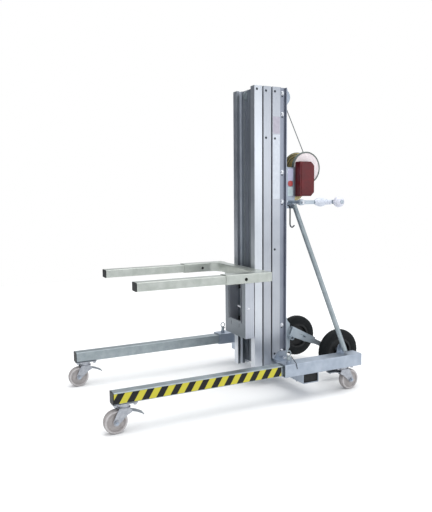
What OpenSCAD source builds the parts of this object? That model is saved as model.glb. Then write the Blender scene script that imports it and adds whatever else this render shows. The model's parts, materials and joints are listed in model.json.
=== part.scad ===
// Hand-cranked material hoist: wheeled base, three-section aluminium mast, fork carriage and winch.
// Millimetres, Z up, forks towards -Y. Heights are above the floor, depths from the mast's front face.

/* [Mast] */
// Width of every mast section
mast_w = 217; // [205:1:230]
// Depth of one mast section
section_d = 43; // [42:0.5:45]
// Depth from one section's front face to the next one's
section_pitch = 51; // [50:0.5:52]
// Height of the top of the mast
mast_top = 1493; // [1490:1:1560]
// Height of the foot of the two moving sections
mast_low = 75; // [70:1:85]
// Width of a section's front flange
flange_w = 38; // [36:1:40]
// Depth of the recess between the flanges
recess_d = 37; // [35:0.5:37]
// Wall of the mast extrusions
mast_wall = 3.5; // [3:0.1:4]
// Thickness of a section's web
web_t = 4; // [3:0.5:4.5]
// Depth of the bolt rails behind the outer section
rail_d = 41; // [38:1:44]
// Width of a bolt rail
rail_w = 30.5; // [26:0.5:34]
// Width of the channel in a bolt rail's outer side
rail_slot = 33; // [28:1:33]
// Depth of the channel in a bolt rail's outer side
rail_channel = 12; // [8:1:16]
// Height of the arch at the foot of the webs
arch_z = 102; // [100:1:110]
// How far each section and the carriage rise
lift_stroke = 900; // [600:10:900]

/* [Guide shoes] */
// Width of the guide groove in a flange
guide_w = 14; // [12:0.5:15]
// Depth of the guide groove
guide_d = 10; // [8:0.5:11]
// Depth of the guide groove's front edge behind the flange face
guide_y = 14; // [12:0.5:16]
// Height of one guide shoe
shoe_h = 70; // [50:1:80]
// Height from one shoe's foot to the next one's
shoe_step = 110; // [90:1:120]
// Running clearance of the shoes
shoe_gap = 0.3; // [0.2:0.05:0.5]

/* [Carriage and forks] */
// Height of the carriage's lower edge
carriage_low = 255; // [250:1:265]
// Width of one carriage bar
carriage_bar_w = 48.5; // [44:0.5:52]
// Depth of the carriage bars
carriage_d = 50; // [46:1:54]
// Gap between the carriage and the mast
carriage_gap = 4; // [3:0.5:6]
// Height of the carriage's lower plate
carriage_plate_h = 80; // [70:1:90]
// Height of the centre of the forks
fork_z = 585; // [580:1:620]
// Distance from the middle of the hoist to the middle of a fork
fork_x = 240; // [200:1:250]
// Width of the fork sockets
socket_w = 62; // [56:1:66]
// Height of the fork sockets
socket_h = 45; // [40:1:50]
// Wall of the fork sockets
socket_wall = 3; // [2.5:0.5:4]
// Length of a fork socket in front of the mast
socket_l = 241; // [200:1:280]
// How far the fork tips stand in front of the mast
fork_reach = 666; // [560:1:760]
// Radius of the pin holes in the sockets
fork_pin_r = 5.5; // [4:0.5:7]

/* [Legs and base] */
// Side of the square leg tube
leg_size = 50; // [46:1:50]
// Wall of the leg tube
leg_wall = 3; // [2:0.5:4]
// Distance from the middle of the hoist to the middle of a leg
leg_x = 337; // [330:1:350]
// How far the legs stand in front of the mast
leg_reach = 801; // [760:1:860]
// How far a leg goes in behind the mast's front face
leg_in = 360; // [320:1:400]
// Width of the sleeve tube
sleeve_w = 70; // [68:1:74]
// Height of the sleeve tube
sleeve_h = 60; // [60:0.5:64]
// Wall of the sleeve tube
sleeve_wall = 3.5; // [3:0.25:4]
// Depth of the sleeve's rear end
sleeve_y1 = 453; // [440:1:470]
// Front face of the cross tube
cross_y = 115; // [112:1:118]
// Depth of the cross tube
cross_d = 90; // [84:1:96]
// Height of the cross tube
cross_h = 50; // [46:1:54]
// Thickness of the foot plate under the mast
foot_t = 12; // [8:1:14]
// Height of the hazard tape
tape_h = 42; // [30:1:44]
// Radius of the leg lock screw
lock_r = 5; // [4:0.5:6]
// Height of the lock screw's ring above the sleeve
lock_h = 44; // [36:1:60]

/* [Casters] */
// Radius of a caster wheel
caster_r = 50; // [46:0.5:50]
// Width of a caster wheel
caster_w = 32; // [26:1:34]
// Trail from the swivel axis to the wheel's axle
caster_trail = 38; // [34:1:42]
// Distance from the middle of the hoist to a swivel axis
caster_x = 334; // [330:1:345]
// Depth of the front swivel axes in front of the mast
front_swivel = 752; // [690:1:760]
// Depth of the rear swivel axes behind the mast's front face
rear_swivel = 370; // [350:1:385]
// Radius of the caster axle
caster_axle_r = 6; // [5:0.5:7]

/* [Transport wheels] */
// Outer radius of a transport tyre
tyre_r = 115; // [105:1:120]
// Inner radius of a transport tyre
tyre_in = 70; // [64:1:80]
// Width of a transport tyre
tyre_w = 50; // [44:1:54]
// Distance from the middle of the hoist to the middle of a tyre
tyre_x = 194; // [188:1:205]
// Depth of the transport axle behind the mast's front face
axle_y = 450.5; // [440:0.5:470]
// Height of the transport axle
axle_z = 152; // [145:1:165]
// Radius of the transport axle
axle_r = 10; // [8:0.5:12]
// Distance from the middle of the hoist to the middle of an axle arm
arm_x = 112; // [108:1:120]

/* [Winch] */
// Depth of the drum's axis
drum_y = 351; // [351:351]
// Height of the drum's axis
drum_z = 1106; // [1106:1106]
// Radius of the drum's barrel
barrel_r = 41.5; // [36:0.5:46]
// Radius of the drum's far flange
drum_flange_r = 86; // [78:1:88]
// Half the distance between the winch's side plates
console_in = 50; // [50:1:54]
// Thickness of the winch's side plates
console_t = 5; // [4:0.5:6]
// Crank radius, from the shaft to the grip
crank_l = 200; // [170:1:200]
// Distance from the middle of the hoist to the inner face of the crank arm
crank_x = 155; // [154:1:160]
// Radius of the crank shaft
crank_shaft_r = 7; // [6:0.5:8]
// Radius of the crank's ball grip
grip_r = 28; // [24:0.5:28]
// Gear tooth module
gear_m = 3; // [3:3]
// Teeth of the crank pinion
pinion_teeth = 12; // [12:12]
// Teeth of the idler gear
idler_teeth = 36; // [36:36]
// Teeth of the drum gear
drum_teeth = 54; // [54:54]
// Width of the gears
gear_w = 10; // [8:0.5:10]

/* [Ropes] */
// Radius of the lifting rope
rope_r = 2.5; // [2:0.1:2.5]
// Radius of the transfer ropes
transfer_r = 2; // [1.5:0.1:2]
// Turns of lifting rope that stay on the drum
rope_turns = 4; // [2:1:5]
// Pitch of the turns on the drum
rope_pitch = 5.8; // [5.6:0.1:6.4]
// Rope radius of the head pulley
head_r = 56; // [56:0.5:58]
// Height from the head pulley's axis up to the mast's top
head_drop = 53; // [53:1:60]
// Rope radius of the two section pulleys
small_r = 20; // [18:0.5:20]
// Distance from the middle of the hoist to a section pulley
small_x = 28; // [27:0.5:30]

/* [Braces] */
// Radius of the brace tubes
brace_r = 12; // [9:0.5:12]

/* [Hidden] */
$fn = 48;

over = 1;               // a cutter's reach past a face
seat = 0.3;             // gap between faces of different bodies
run = 0.05;             // radial running clearance of a shaft in its bore
half_w = mast_w / 2;
flange_in = half_w - flange_w;
middle_y = section_pitch;
outer_y = 2 * section_pitch;
web_back = recess_d + web_t;
rail_back = outer_y + section_d + rail_d;
sleeve_low = 123;       // height of the sleeves' underside
leg_seat = 1;           // height of the leg above the sleeve's floor
leg_low = sleeve_low + sleeve_wall + leg_seat;
leg_top = leg_low + leg_size;
leg_z = leg_low + leg_size / 2;
sleeve_top = sleeve_low + sleeve_h;
sleeve_x = leg_x - leg_size / 2 - 0.5 - sleeve_wall + sleeve_w / 2;
sleeve_y0 = 7;          // depth of the sleeve's mouth
outer_low = sleeve_low + foot_t;
carriage_y0 = -carriage_gap - carriage_d;
carriage_y1 = -carriage_gap;
carriage_top = fork_z - socket_h / 2;
tine_w = socket_w - 2 * socket_wall - 2 * seat;
tine_h = socket_h - 2 * socket_wall - 2 * seat;
tine_wall = 3;
front_y = -(front_swivel + caster_trail + caster_r);
rear_y = axle_y + tyre_r;
frame_y = -(front_y + rear_y) / 2;
tape_t = 0.3;
cap_t = 4;
tube_r = 4;             // corner radius of the square tubes

function dist(a, b) = norm(b - a);
function angle_to(a, b) = atan2(b[1] - a[1], b[0] - a[0]);
function dir(a) = [cos(a), sin(a)];

module in_frame() translate([0, frame_y, 0]) children();

// A rounded rectangle about the origin
module round_rect(w, h, r) {
  square([w - 2 * r, h], center = true);
  square([w, h - 2 * r], center = true);
  for (sx = [-1, 1], sy = [-1, 1])
    translate([sx * (w / 2 - r), sy * (h / 2 - r)]) circle(r = r);
}

// A rectangular tube's section
module tube_rect(w, h, wall, r) {
  difference() {
    round_rect(w, h, r);
    square([w - 2 * wall, h - 2 * wall], center = true);
  }
}

module along_x(x0, x1) translate([x0, 0, 0]) rotate([90, 0, 90]) linear_extrude(x1 - x0) children();
module along_xs(s, x0, x1) along_x(s > 0 ? x0 : -x1, s > 0 ? x1 : -x0) children();
module along_y(y0, y1) translate([0, y1, 0]) rotate([90, 0, 0]) linear_extrude(y1 - y0) children();
module rod_x(r, x0, x1) translate([x0, 0, 0]) rotate([0, 90, 0]) cylinder(r = r, h = x1 - x0);
module rod_xs(s, r, x0, x1) rod_x(r, s > 0 ? x0 : -x1, s > 0 ? x1 : -x0);
module rod_z(r, z0, z1) translate([0, 0, z0]) cylinder(r = r, h = z1 - z0);
module box(x0, x1, y0, y1, z0, z1) translate([x0, y0, z0]) cube([x1 - x0, y1 - y0, z1 - z0]);
module box_s(s, x0, x1, y0, y1, z0, z1) box(s > 0 ? x0 : -x1, s > 0 ? x1 : -x0, y0, y1, z0, z1);
// A body turned about the X axis from a profile of [radius, x] points
module turned_x(points) rotate([90, 0, 90]) rotate_extrude() polygon(points);

// Base frame

cross_end = sleeve_x + sleeve_w / 2 - 15;
cross_wall = 4;
cross_r = 6;
foot_x = half_w + 34;
foot_bolt_r = 5.5;
foot_bolt_x = half_w + 24;
gusset_t = 5;
gusset_h = 34;
module foot_bolt_cuts() for (s = [-1, 1])
  translate([s * foot_bolt_x, cross_y + cross_d / 2, 0]) rod_z(foot_bolt_r, sleeve_low - 12, outer_low + over);
module cross_tube() color("#9fb0b8") in_frame() difference() {
  union() {
    translate([0, cross_y + cross_d / 2, sleeve_low - cross_h / 2])
      along_x(-cross_end, cross_end) tube_rect(cross_d, cross_h, cross_wall, cross_r);
    box(-foot_x, foot_x, outer_y + 4, cross_y + cross_d - 4, sleeve_low, outer_low);
    for (s = [-1, 1]) along_xs(s, half_w + seat, half_w + seat + gusset_t) polygon([
      [outer_y + 12, outer_low], [rail_back, outer_low], [rail_back, outer_low + gusset_h],
      [outer_y + 36, outer_low + gusset_h]]);
  }
  foot_bolt_cuts();
}

cap_inset = 6;          // depth of the end plugs inside the cross tube
plug_l = 16;
module cross_tube_caps() color("#15181a") in_frame()
  for (s = [-1, 1]) translate([0, cross_y + cross_d / 2, sleeve_low - cross_h / 2])
    along_xs(s, cross_end - cap_inset - plug_l, cross_end - cap_inset)
      square([cross_d - 2 * cross_wall - seat, cross_h - 2 * cross_wall], center = true);

boss_r = 11;
boss_h = 12;
lock_x = sleeve_x;
lock_y = sleeve_y0 + 40;
lug_t = 5;
lug_h = 44;
brace_foot = [sleeve_x, 379, sleeve_top + 12];
lug_lean = 13.5;        // how far the brace leans over the lug's top
lug_x0 = brace_foot[0] - brace_r - lug_t - lug_lean;
lug_bolt = [brace_foot[1] - 4, brace_foot[2] + 18];
bolt_r = 5;
module sleeve(s) {
  translate([s * sleeve_x, 0, sleeve_low + sleeve_h / 2]) difference() {
    along_y(sleeve_y0, sleeve_y1) round_rect(sleeve_w, sleeve_h, tube_r);
    along_y(sleeve_y0 - over, sleeve_y1 + over)
      translate([s * (leg_x - sleeve_x), (leg_z - sleeve_low - sleeve_h / 2) + 0.5])
        square([leg_size + 1, leg_size + 1 + leg_seat], center = true);
    // The strip beside the leg starts behind the mouth
    box_s(s, -sleeve_w / 2 + sleeve_wall, sleeve_w / 2 - sleeve_wall, sleeve_y0 - over, sleeve_y0 + 10,
          -sleeve_h / 2 + sleeve_wall, sleeve_h / 2 - sleeve_wall);
    translate([s * (lock_x - sleeve_x), lock_y, 0]) rod_z(lock_r + run, 0, sleeve_h);
  }
  // Threaded boss of the lock screw
  translate([s * lock_x, lock_y, 0]) difference() {
    rod_z(boss_r, sleeve_top, sleeve_top + boss_h);
    rod_z(lock_r + run, sleeve_top - over, sleeve_top + boss_h + over);
  }
  // Lug of the brace
  difference() {
    along_xs(s, lug_x0, lug_x0 + lug_t) polygon([
      [lug_bolt[0] - 26, sleeve_top], [lug_bolt[0] + 18, sleeve_top], [lug_bolt[0] + 14, sleeve_top + lug_h - 8],
      [lug_bolt[0] + 6, sleeve_top + lug_h], [lug_bolt[0] - 10, sleeve_top + lug_h],
      [lug_bolt[0] - 18, sleeve_top + lug_h - 8]]);
    translate([0, lug_bolt[0], lug_bolt[1]]) rod_xs(s, bolt_r + seat, lug_x0 - over, lug_x0 + lug_t + over);
  }
}
module sleeve_left() color("#a9b9c2") in_frame() sleeve(-1);
module sleeve_right() color("#a9b9c2") in_frame() sleeve(1);

// Casters: the swivel axis is the local Z axis, the wheel trails to local +Y

plate_t = 4;
pin_r = 8;
crown_z = caster_r + 53;
crown_t = 5;
crown_r = 27;
cheek_x = 20;
cheek_t = 3;
plate_nut_r = 7;
plate_nut_h = 7;
plate_hole_x = 21;
plate_hole_y = 42;
module caster_top(z_top) {
  z_low = z_top - plate_t;
  translate([0, 0, z_low]) linear_extrude(plate_t) round_rect(60, 104, 6);
  rod_z(pin_r, crown_z - 6, z_low);
  rod_z(pin_r + 3, crown_z - 6, crown_z - seat);
  for (sx = [-1, 1], sy = [-1, 1]) translate([sx * plate_hole_x, sy * plate_hole_y, 0])
    rod_z(plate_nut_r, z_low - plate_nut_h, z_low);
}

pedal_y = -20;
pedal_z = caster_r + 41;
pedal_pin_r = 3;
module caster_fork(z_top) {
  difference() {
    union() {
      rod_z(crown_r, crown_z, crown_z + crown_t);
      rod_z(crown_r - 4, crown_z + crown_t, z_top - plate_t - seat);
      box(-cheek_x - cheek_t, cheek_x + cheek_t, -18, 24, crown_z, crown_z + crown_t);
    }
    rod_z(pin_r + run, crown_z - over, z_top);
  }
  for (s = [-1, 1]) {
    along_xs(s, cheek_x, cheek_x + cheek_t) polygon([
      [-18, crown_z + crown_t], [24, crown_z + crown_t], [30, crown_z - 2],
      [caster_trail + 13, caster_r + 8], [caster_trail + 13, caster_r - 6],
      [caster_trail + 6, caster_r - 13], [caster_trail - 6, caster_r - 13], [caster_trail - 13, caster_r - 4],
      [-10, caster_r + 28], [-27, caster_r + 36], [-27, caster_r + 47], [-20, crown_z]]);
    // Nut and head of the axle bolt
    translate([0, caster_trail, caster_r]) rod_xs(s, 10, cheek_x + cheek_t, cheek_x + cheek_t + 6);
  }
  translate([0, caster_trail, caster_r]) rod_x(caster_axle_r, -cheek_x, cheek_x);
  translate([0, pedal_y, pedal_z]) rod_x(pedal_pin_r, -cheek_x, cheek_x);
}

tread_t = 7;
module caster_wheel() translate([0, caster_trail, caster_r]) turned_x([
  [caster_axle_r + run, -caster_w / 2 - 2], [14, -caster_w / 2 - 2], [16, -caster_w / 2 + 3],
  [caster_r - 15, -caster_w / 2 + 3], [caster_r - 13, -caster_w / 2], [caster_r - 5, -caster_w / 2],
  [caster_r, -caster_w / 2 + tread_t], [caster_r, caster_w / 2 - tread_t], [caster_r - 5, caster_w / 2],
  [caster_r - 13, caster_w / 2], [caster_r - 15, caster_w / 2 - 3], [16, caster_w / 2 - 3],
  [14, caster_w / 2 + 2], [caster_axle_r + run, caster_w / 2 + 2]]);

pedal_w = 32;
pedal_tilt = 14;
module brake_pedal(tilt) translate([0, pedal_y, pedal_z]) {
  difference() {
    rod_x(pedal_pin_r + 3, -cheek_x + 1, cheek_x - 1);
    rod_x(pedal_pin_r + run, -cheek_x, cheek_x);
  }
  rotate([tilt, 0, 0]) along_x(-pedal_w / 2, pedal_w / 2) polygon([
    [-5, -1.5], [-5, 2.5], [-34, 1], [-62, -5], [-67, -10], [-64, -12], [-58, -8.5], [-33, -3]]);
}

module at_caster(sx, front) translate([sx * caster_x, front ? -front_swivel : rear_swivel, 0])
  rotate([0, 0, front ? 180 : 0]) children();

module caster_plate_front_left() color("#c9cdd0") in_frame() at_caster(-1, true) caster_top(leg_low);
module caster_plate_front_right() color("#c9cdd0") in_frame() at_caster(1, true) caster_top(leg_low);
module caster_plates_rear() color("#c9cdd0") in_frame()
  for (s = [-1, 1]) at_caster(s, false) caster_top(sleeve_low);
module caster_fork_front_left() color("#b9bdc0") in_frame() at_caster(-1, true) caster_fork(leg_low);
module caster_fork_front_right() color("#b9bdc0") in_frame() at_caster(1, true) caster_fork(leg_low);
module caster_fork_rear_left() color("#b9bdc0") in_frame() at_caster(-1, false) caster_fork(sleeve_low);
module caster_fork_rear_right() color("#b9bdc0") in_frame() at_caster(1, false) caster_fork(sleeve_low);
module caster_wheel_front_left() color("#b5adac") in_frame() at_caster(-1, true) caster_wheel();
module caster_wheel_front_right() color("#b5adac") in_frame() at_caster(1, true) caster_wheel();
module caster_wheel_rear_left() color("#b5adac") in_frame() at_caster(-1, false) caster_wheel();
module caster_wheel_rear_right() color("#b5adac") in_frame() at_caster(1, false) caster_wheel();
module brake_pedal_front_left() color("#a4acb0") in_frame() at_caster(-1, true) brake_pedal(pedal_tilt);
module brake_pedal_front_right() color("#a4acb0") in_frame() at_caster(1, true) brake_pedal(pedal_tilt);
module brake_pedal_rear_left() color("#a4acb0") in_frame() at_caster(-1, false) brake_pedal(-pedal_tilt);
module brake_pedal_rear_right() color("#a4acb0") in_frame() at_caster(1, false) brake_pedal(-pedal_tilt);

// Legs

module leg(s) translate([s * leg_x, 0, leg_z])
  along_y(-leg_reach, leg_in) tube_rect(leg_size, leg_size, leg_wall, tube_r);
module leg_left() color("#a3adb1") in_frame() leg(-1);
module leg_right() color("#a3adb1") in_frame() leg(1);

module plug(x, z, w, h, wall, y) translate([x, 0, z]) {
  along_y(y - cap_t, y) round_rect(w, h, tube_r);
  along_y(y, y + 16) square([w - 2 * wall - seat, h - 2 * wall - seat], center = true);
}
module leg_cap(s) plug(s * leg_x, leg_z, leg_size, leg_size, leg_wall, -leg_reach);
module leg_cap_left() color("#1b1d1f") in_frame() leg_cap(-1);
module leg_cap_right() color("#1b1d1f") in_frame() leg_cap(1);
module hazard_tape() color("#d9cf3a") in_frame()
  box(leg_x + leg_size / 2, leg_x + leg_size / 2 + tape_t, -leg_reach, sleeve_y0 - 12,
      leg_z - tape_h / 2, leg_z + tape_h / 2);

// Lock screws: a vertical screw with a ring to turn it by

ring_r = 12;
ring_t = 2.5;
ring_z = sleeve_top + lock_h;
module lock_screw(s) translate([s * lock_x, lock_y, 0]) {
  rod_z(lock_r, leg_top + seat, sleeve_top + boss_h + 3);
  rod_z(lock_r + 3, sleeve_top + boss_h + 2, ring_z - ring_r - 2);
  translate([0, 0, ring_z]) rotate([0, 90, 0]) rotate_extrude() translate([ring_r, 0]) circle(r = ring_t);
}
module lock_screw_left() color("#8d979c") in_frame() lock_screw(-1);
module lock_screw_right() color("#8d979c") in_frame() lock_screw(1);

// Transport wheels

eye_r = 17;
eye_w = 26;
post_t = 5;
post_z0 = outer_low + 5;
post_z1 = 338;
arm_h0 = 26;            // half height of the arm at the mast
arm_h1 = 18;            // half height of the arm at its free end
arm_p0 = [rail_back + 22, 268];
arm_p1 = [350, 203];
arm_wall = 4;
arm_w = 26;
arm_dir = (arm_p1 - arm_p0) / dist(arm_p0, arm_p1);
arm_up = [-arm_dir[1], arm_dir[0]];
arm_in = arm_x - arm_w / 2;
arm_out = arm_x + arm_w / 2;
bar_h = 13;             // half height of the square bar
pivot_r = 12;
pivot_z = 235;
module axle_arm(s) {
  box_s(s, half_w - rail_w, half_w, rail_back, rail_back + post_t, post_z0, post_z1);
  // Ears on the post plate
  along_xs(s, arm_in, arm_in + arm_wall) polygon([
    [rail_back + post_t, post_z0 + 10], [rail_back + 26, post_z0 + 40], [rail_back + 26, post_z1 - 34],
    [rail_back + post_t, post_z1 - 8]]);
  // Channel-shaped arm: two cheeks and a top web
  for (x = [arm_in + arm_wall, arm_out - arm_wall]) difference() {
    along_xs(s, x, x + arm_wall) polygon([
      arm_p0 + arm_h0 * arm_up, arm_p1 + arm_h1 * arm_up, arm_p1 - arm_h1 * arm_up,
      arm_p0 - arm_h0 * arm_up]);
    along_xs(s, x - over, x + arm_wall + over) polygon([
      arm_p0 + 50 * arm_dir + 5 * arm_up, arm_p1 - 60 * arm_dir + 5 * arm_up,
      arm_p1 - 60 * arm_dir - 3 * arm_up, arm_p0 + 50 * arm_dir - 3 * arm_up]);
  }
  along_xs(s, arm_in + 2 * arm_wall, arm_out - arm_wall) polygon([
    arm_p0 + arm_h0 * arm_up, arm_p1 + arm_h1 * arm_up, arm_p1 + (arm_h1 - arm_wall) * arm_up,
    arm_p0 + (arm_h0 - arm_wall) * arm_up]);
  // Square bar from the arm to the axle's eye
  difference() {
    union() {
      along_xs(s, arm_in + 2 * arm_wall, arm_out - arm_wall) polygon([
        arm_p1 - 50 * arm_dir + bar_h * arm_up, [axle_y - 4, axle_z + bar_h],
        [axle_y - 4, axle_z - bar_h], arm_p1 - 50 * arm_dir - bar_h * arm_up]);
      translate([0, axle_y, axle_z]) rod_xs(s, eye_r, arm_in, arm_out);
    }
    translate([0, axle_y, axle_z]) rod_xs(s, axle_r + run, arm_in - over, arm_out + over);
  }
  // Pivot sleeve at the post
  translate([0, rail_back + 24, pivot_z]) difference() {
    rod_xs(s, pivot_r, arm_in - 6, arm_out + 6);
    rod_xs(s, pivot_r - 4, arm_in - 8, arm_out + 8);
  }
}
module axle_arms() color("#96a5a8") in_frame() for (s = [-1, 1]) axle_arm(s);

hub_half = 28;
hub_in = tyre_x - hub_half;
hub_out = tyre_x + hub_half;
collar_t = 6;
module transport_axle() color("#8f999c") in_frame() translate([0, axle_y, axle_z]) {
  rod_x(axle_r, -hub_out - collar_t, hub_out + collar_t);
  for (s = [-1, 1]) {
    rod_xs(s, axle_r + 5, hub_out + seat, hub_out + collar_t);
    rod_xs(s, axle_r + 5, hub_in - collar_t, hub_in - seat);
  }
}
module tyre(s) translate([s * tyre_x, axle_y, axle_z]) turned_x([
  [tyre_in, -tyre_w / 2 + 4], [tyre_in + 8, -tyre_w / 2 + 1], [tyre_r - 22, -tyre_w / 2],
  [tyre_r - 8, -tyre_w / 2 + 4], [tyre_r - 2, -tyre_w / 2 + 11], [tyre_r, -4], [tyre_r, 4],
  [tyre_r - 2, tyre_w / 2 - 11], [tyre_r - 8, tyre_w / 2 - 4], [tyre_r - 22, tyre_w / 2],
  [tyre_in + 8, tyre_w / 2 - 1], [tyre_in, tyre_w / 2 - 4]]);
module tyre_left() color("#1d1f20") in_frame() tyre(-1);
module tyre_right() color("#1d1f20") in_frame() tyre(1);
module wheel_hub(s) translate([s * tyre_x, axle_y, axle_z]) turned_x([
  [axle_r + run, -hub_half], [22, -hub_half], [26, -6], [56, -6], [60, -tyre_w / 2 + 4],
  [tyre_in, -tyre_w / 2 + 4], [tyre_in, tyre_w / 2 - 4], [60, tyre_w / 2 - 4], [56, 6], [26, 6],
  [22, hub_half], [axle_r + run, hub_half]]);
module wheel_hub_left() color("#2b2d2e") in_frame() wheel_hub(-1);
module wheel_hub_right() color("#2b2d2e") in_frame() wheel_hub(1);

// Mast

rib_x = 20;
rib_w = 3;
rib_h = 4;
arch_r = 420;
// One section: two grooved side boxes, a web and its ribs, from its own front face
module section_profile() {
  for (s = [-1, 1]) mirror([s > 0 ? 0 : 1, 0]) difference() {
    translate([flange_in, 0]) square([flange_w, section_d]);
    translate([flange_in + guide_d + mast_wall, mast_wall])
      square([flange_w - guide_d - 2 * mast_wall, section_d - 2 * mast_wall]);
    translate([flange_in - over, guide_y]) square([guide_d + over, guide_w]);
  }
  translate([-flange_in, recess_d]) square([2 * flange_in, web_t]);
  for (s = [-1, 1]) translate([s * rib_x - rib_w / 2, recess_d - rib_h]) square([rib_w, rib_h]);
}
// Screw holes in the section's outer sides
screw_r = 3.5;
hole_inner = 17;        // how far the screw holes lie below the mast's top
hole_top = 22;
hole_middle = 247;
hole_outer = 249;
module side_holes(zs) for (s = [-1, 1], z = zs) translate([0, guide_y, z])
  rod_xs(s, screw_r, half_w - mast_wall - over, half_w + over);

pulley_slot = 14;
module pulley_window(x) box(x - pulley_slot / 2, x + pulley_slot / 2, recess_d - rib_h - over,
                            web_back + over, small_z - small_r - 11, mast_top + over);
module web_arch() translate([0, section_d + over, arch_z - arch_r])
  rotate([90, 0, 0]) intersection() {
    cylinder(r = arch_r, h = section_d - recess_d + rib_h + 2 * over, $fn = 360);
    translate([-flange_in, arch_r - 40, 0]) cube([2 * flange_in, 41, section_d]);
  }

lug_w = 10;             // width of a rope anchor
anchor_z = 104;         // height of the lower rope anchors' foot
anchor_h = 12;
lift_anchor_z = outer_low + 6;
top_anchor_z = mast_top - 91; // height of the upper rope anchors' foot
head_y = 175;
head_z = mast_top - head_drop;
run_y = head_y - head_r;
middle_pulley_y = middle_y + recess_d + web_t / 2;
inner_pulley_y = recess_d + web_t / 2;
small_z = mast_top - 28;

pin4 = 4;
module mast_inner() color("#b8bdc0") in_frame() {
  difference() {
    translate([0, 0, mast_low]) linear_extrude(mast_top - mast_low) section_profile();
    web_arch();
    pulley_window(-small_x);
    side_holes([mast_top - hole_inner]);
  }
  translate([0, inner_pulley_y, small_z]) rod_x(pin4, -small_x - 12, -small_x + 12);
  // Anchor of the rope over the middle section's pulley
  box(small_x - lug_w / 2, small_x + lug_w / 2, web_back, middle_pulley_y - small_r + 5,
      anchor_z, anchor_z + anchor_h);
}
module mast_middle() color("#b8bdc0") in_frame() {
  translate([0, middle_y, 0]) difference() {
    translate([0, 0, mast_low]) linear_extrude(mast_top - mast_low) section_profile();
    web_arch();
    pulley_window(small_x);
    side_holes([mast_top - hole_top, mast_top - hole_middle]);
  }
  translate([0, middle_pulley_y, small_z]) rod_x(pin4, small_x - 12, small_x + 12);
  // Anchor of the lifting rope
  box(-lug_w / 2, lug_w / 2, middle_y + web_back, run_y + 5, lift_anchor_z, lift_anchor_z + anchor_h);
  // Anchor of the rope over the inner section's pulley
  box(-small_x - lug_w / 2, -small_x + lug_w / 2, inner_pulley_y + small_r - 4, middle_y + recess_d,
      top_anchor_z, top_anchor_z + anchor_h);
}
rail_t = 4;
module mast_outer() color("#b8bdc0") in_frame() {
  translate([0, outer_y, 0]) difference() {
    translate([0, 0, outer_low]) linear_extrude(mast_top - outer_low) {
      section_profile();
      // Bolt rails: hollow bars behind the side boxes, with a channel in their outer sides
      for (s = [-1, 1]) mirror([s > 0 ? 0 : 1, 0]) difference() {
        translate([half_w - rail_w, section_d]) square([rail_w, rail_d]);
        translate([half_w - rail_w + rail_t, section_d + rail_t])
          square([rail_w - 2 * rail_t - rail_channel, rail_d - 2 * rail_t]);
        translate([half_w - rail_channel, section_d + (rail_d - rail_slot) / 2])
          square([rail_channel + over, rail_slot]);
      }
    }
    // Opening of the head pulley in the web
    box(-pulley_slot, pulley_slot, recess_d - rib_h - over, web_back + over,
        head_z - head_r - 12, mast_top + over);
    side_holes([mast_top - hole_top, mast_top - hole_outer]);
  }
  // Anchor of the rope over the middle section's pulley
  box(small_x - lug_w / 2, small_x + lug_w / 2, middle_pulley_y + small_r - 4, outer_y + recess_d,
      top_anchor_z, top_anchor_z + anchor_h);
}

// Guide shoes: blocks behind a section's web with ears in the next section's grooves
shoe_in = flange_in - 20;
module shoe(s, y_back, y_groove, z) translate([0, 0, z]) linear_extrude(shoe_h)
  mirror([s > 0 ? 0 : 1, 0]) polygon([
    [shoe_in, y_back], [flange_in - shoe_gap, y_back], [flange_in - shoe_gap, y_groove + shoe_gap],
    [flange_in + guide_d - shoe_gap, y_groove + shoe_gap],
    [flange_in + guide_d - shoe_gap, y_groove + guide_w - shoe_gap],
    [shoe_in, y_groove + guide_w - shoe_gap]]);
shoe_z = outer_low + 8;
module shoes_middle() color("#202224") in_frame() for (s = [-1, 1], k = [0, 1])
  shoe(s, middle_y + web_back, outer_y + guide_y, shoe_z + k * shoe_step);
module shoes_inner() color("#202224") in_frame() for (s = [-1, 1], k = [0, 1])
  shoe(s, web_back, middle_y + guide_y, shoe_z + k * shoe_step);
module shoes_carriage() color("#202224") in_frame()
  for (s = [-1, 1], z = [carriage_low + 8, carriage_top - shoe_h - 8])
  shoe(s, carriage_y1, guide_y, z);

// Carriage and forks

bar_wall = 4;
groove_w = 9;
groove_d = 10;
groove_in = 4;          // distance of the groove from the bar's inner side
plate8 = 8;
module carriage_frame() color("#b3babd") in_frame() {
  for (s = [-1, 1]) difference() {
    box_s(s, half_w - carriage_bar_w, half_w, carriage_y0, carriage_y1, carriage_low, carriage_top);
    box_s(s, half_w - carriage_bar_w + groove_in + groove_w + bar_wall, half_w - bar_wall, carriage_y0 + bar_wall,
          carriage_y1 - bar_wall, carriage_low - over, carriage_top + over);
    // Dark groove down the bar's front
    box_s(s, half_w - carriage_bar_w + groove_in, half_w - carriage_bar_w + groove_in + groove_w, carriage_y0 - over,
          carriage_y0 + groove_d, carriage_low + carriage_plate_h - 6, carriage_top + over);
    translate([0, carriage_y0 + 18, carriage_low + 150]) rod_xs(s, screw_r, half_w - bar_wall - over, half_w + over);
  }
  difference() {
    box(-half_w + carriage_bar_w, half_w - carriage_bar_w, carriage_y0, carriage_y0 + plate8,
        carriage_low, carriage_low + carriage_plate_h);
    // Small upright slots in the plate
    for (s = [-1, 1]) box_s(s, 40, 44, carriage_y0 - over, carriage_y0 + plate8 + over,
                            carriage_low + 46, carriage_low + carriage_plate_h - 10);
  }
  // Arm of the rope's anchor
  box(-small_x - lug_w / 2, -small_x + lug_w / 2, carriage_y0 + plate8, inner_pulley_y - small_r + 4,
      carriage_low + 3, carriage_low + 3 + anchor_h);
}

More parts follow.
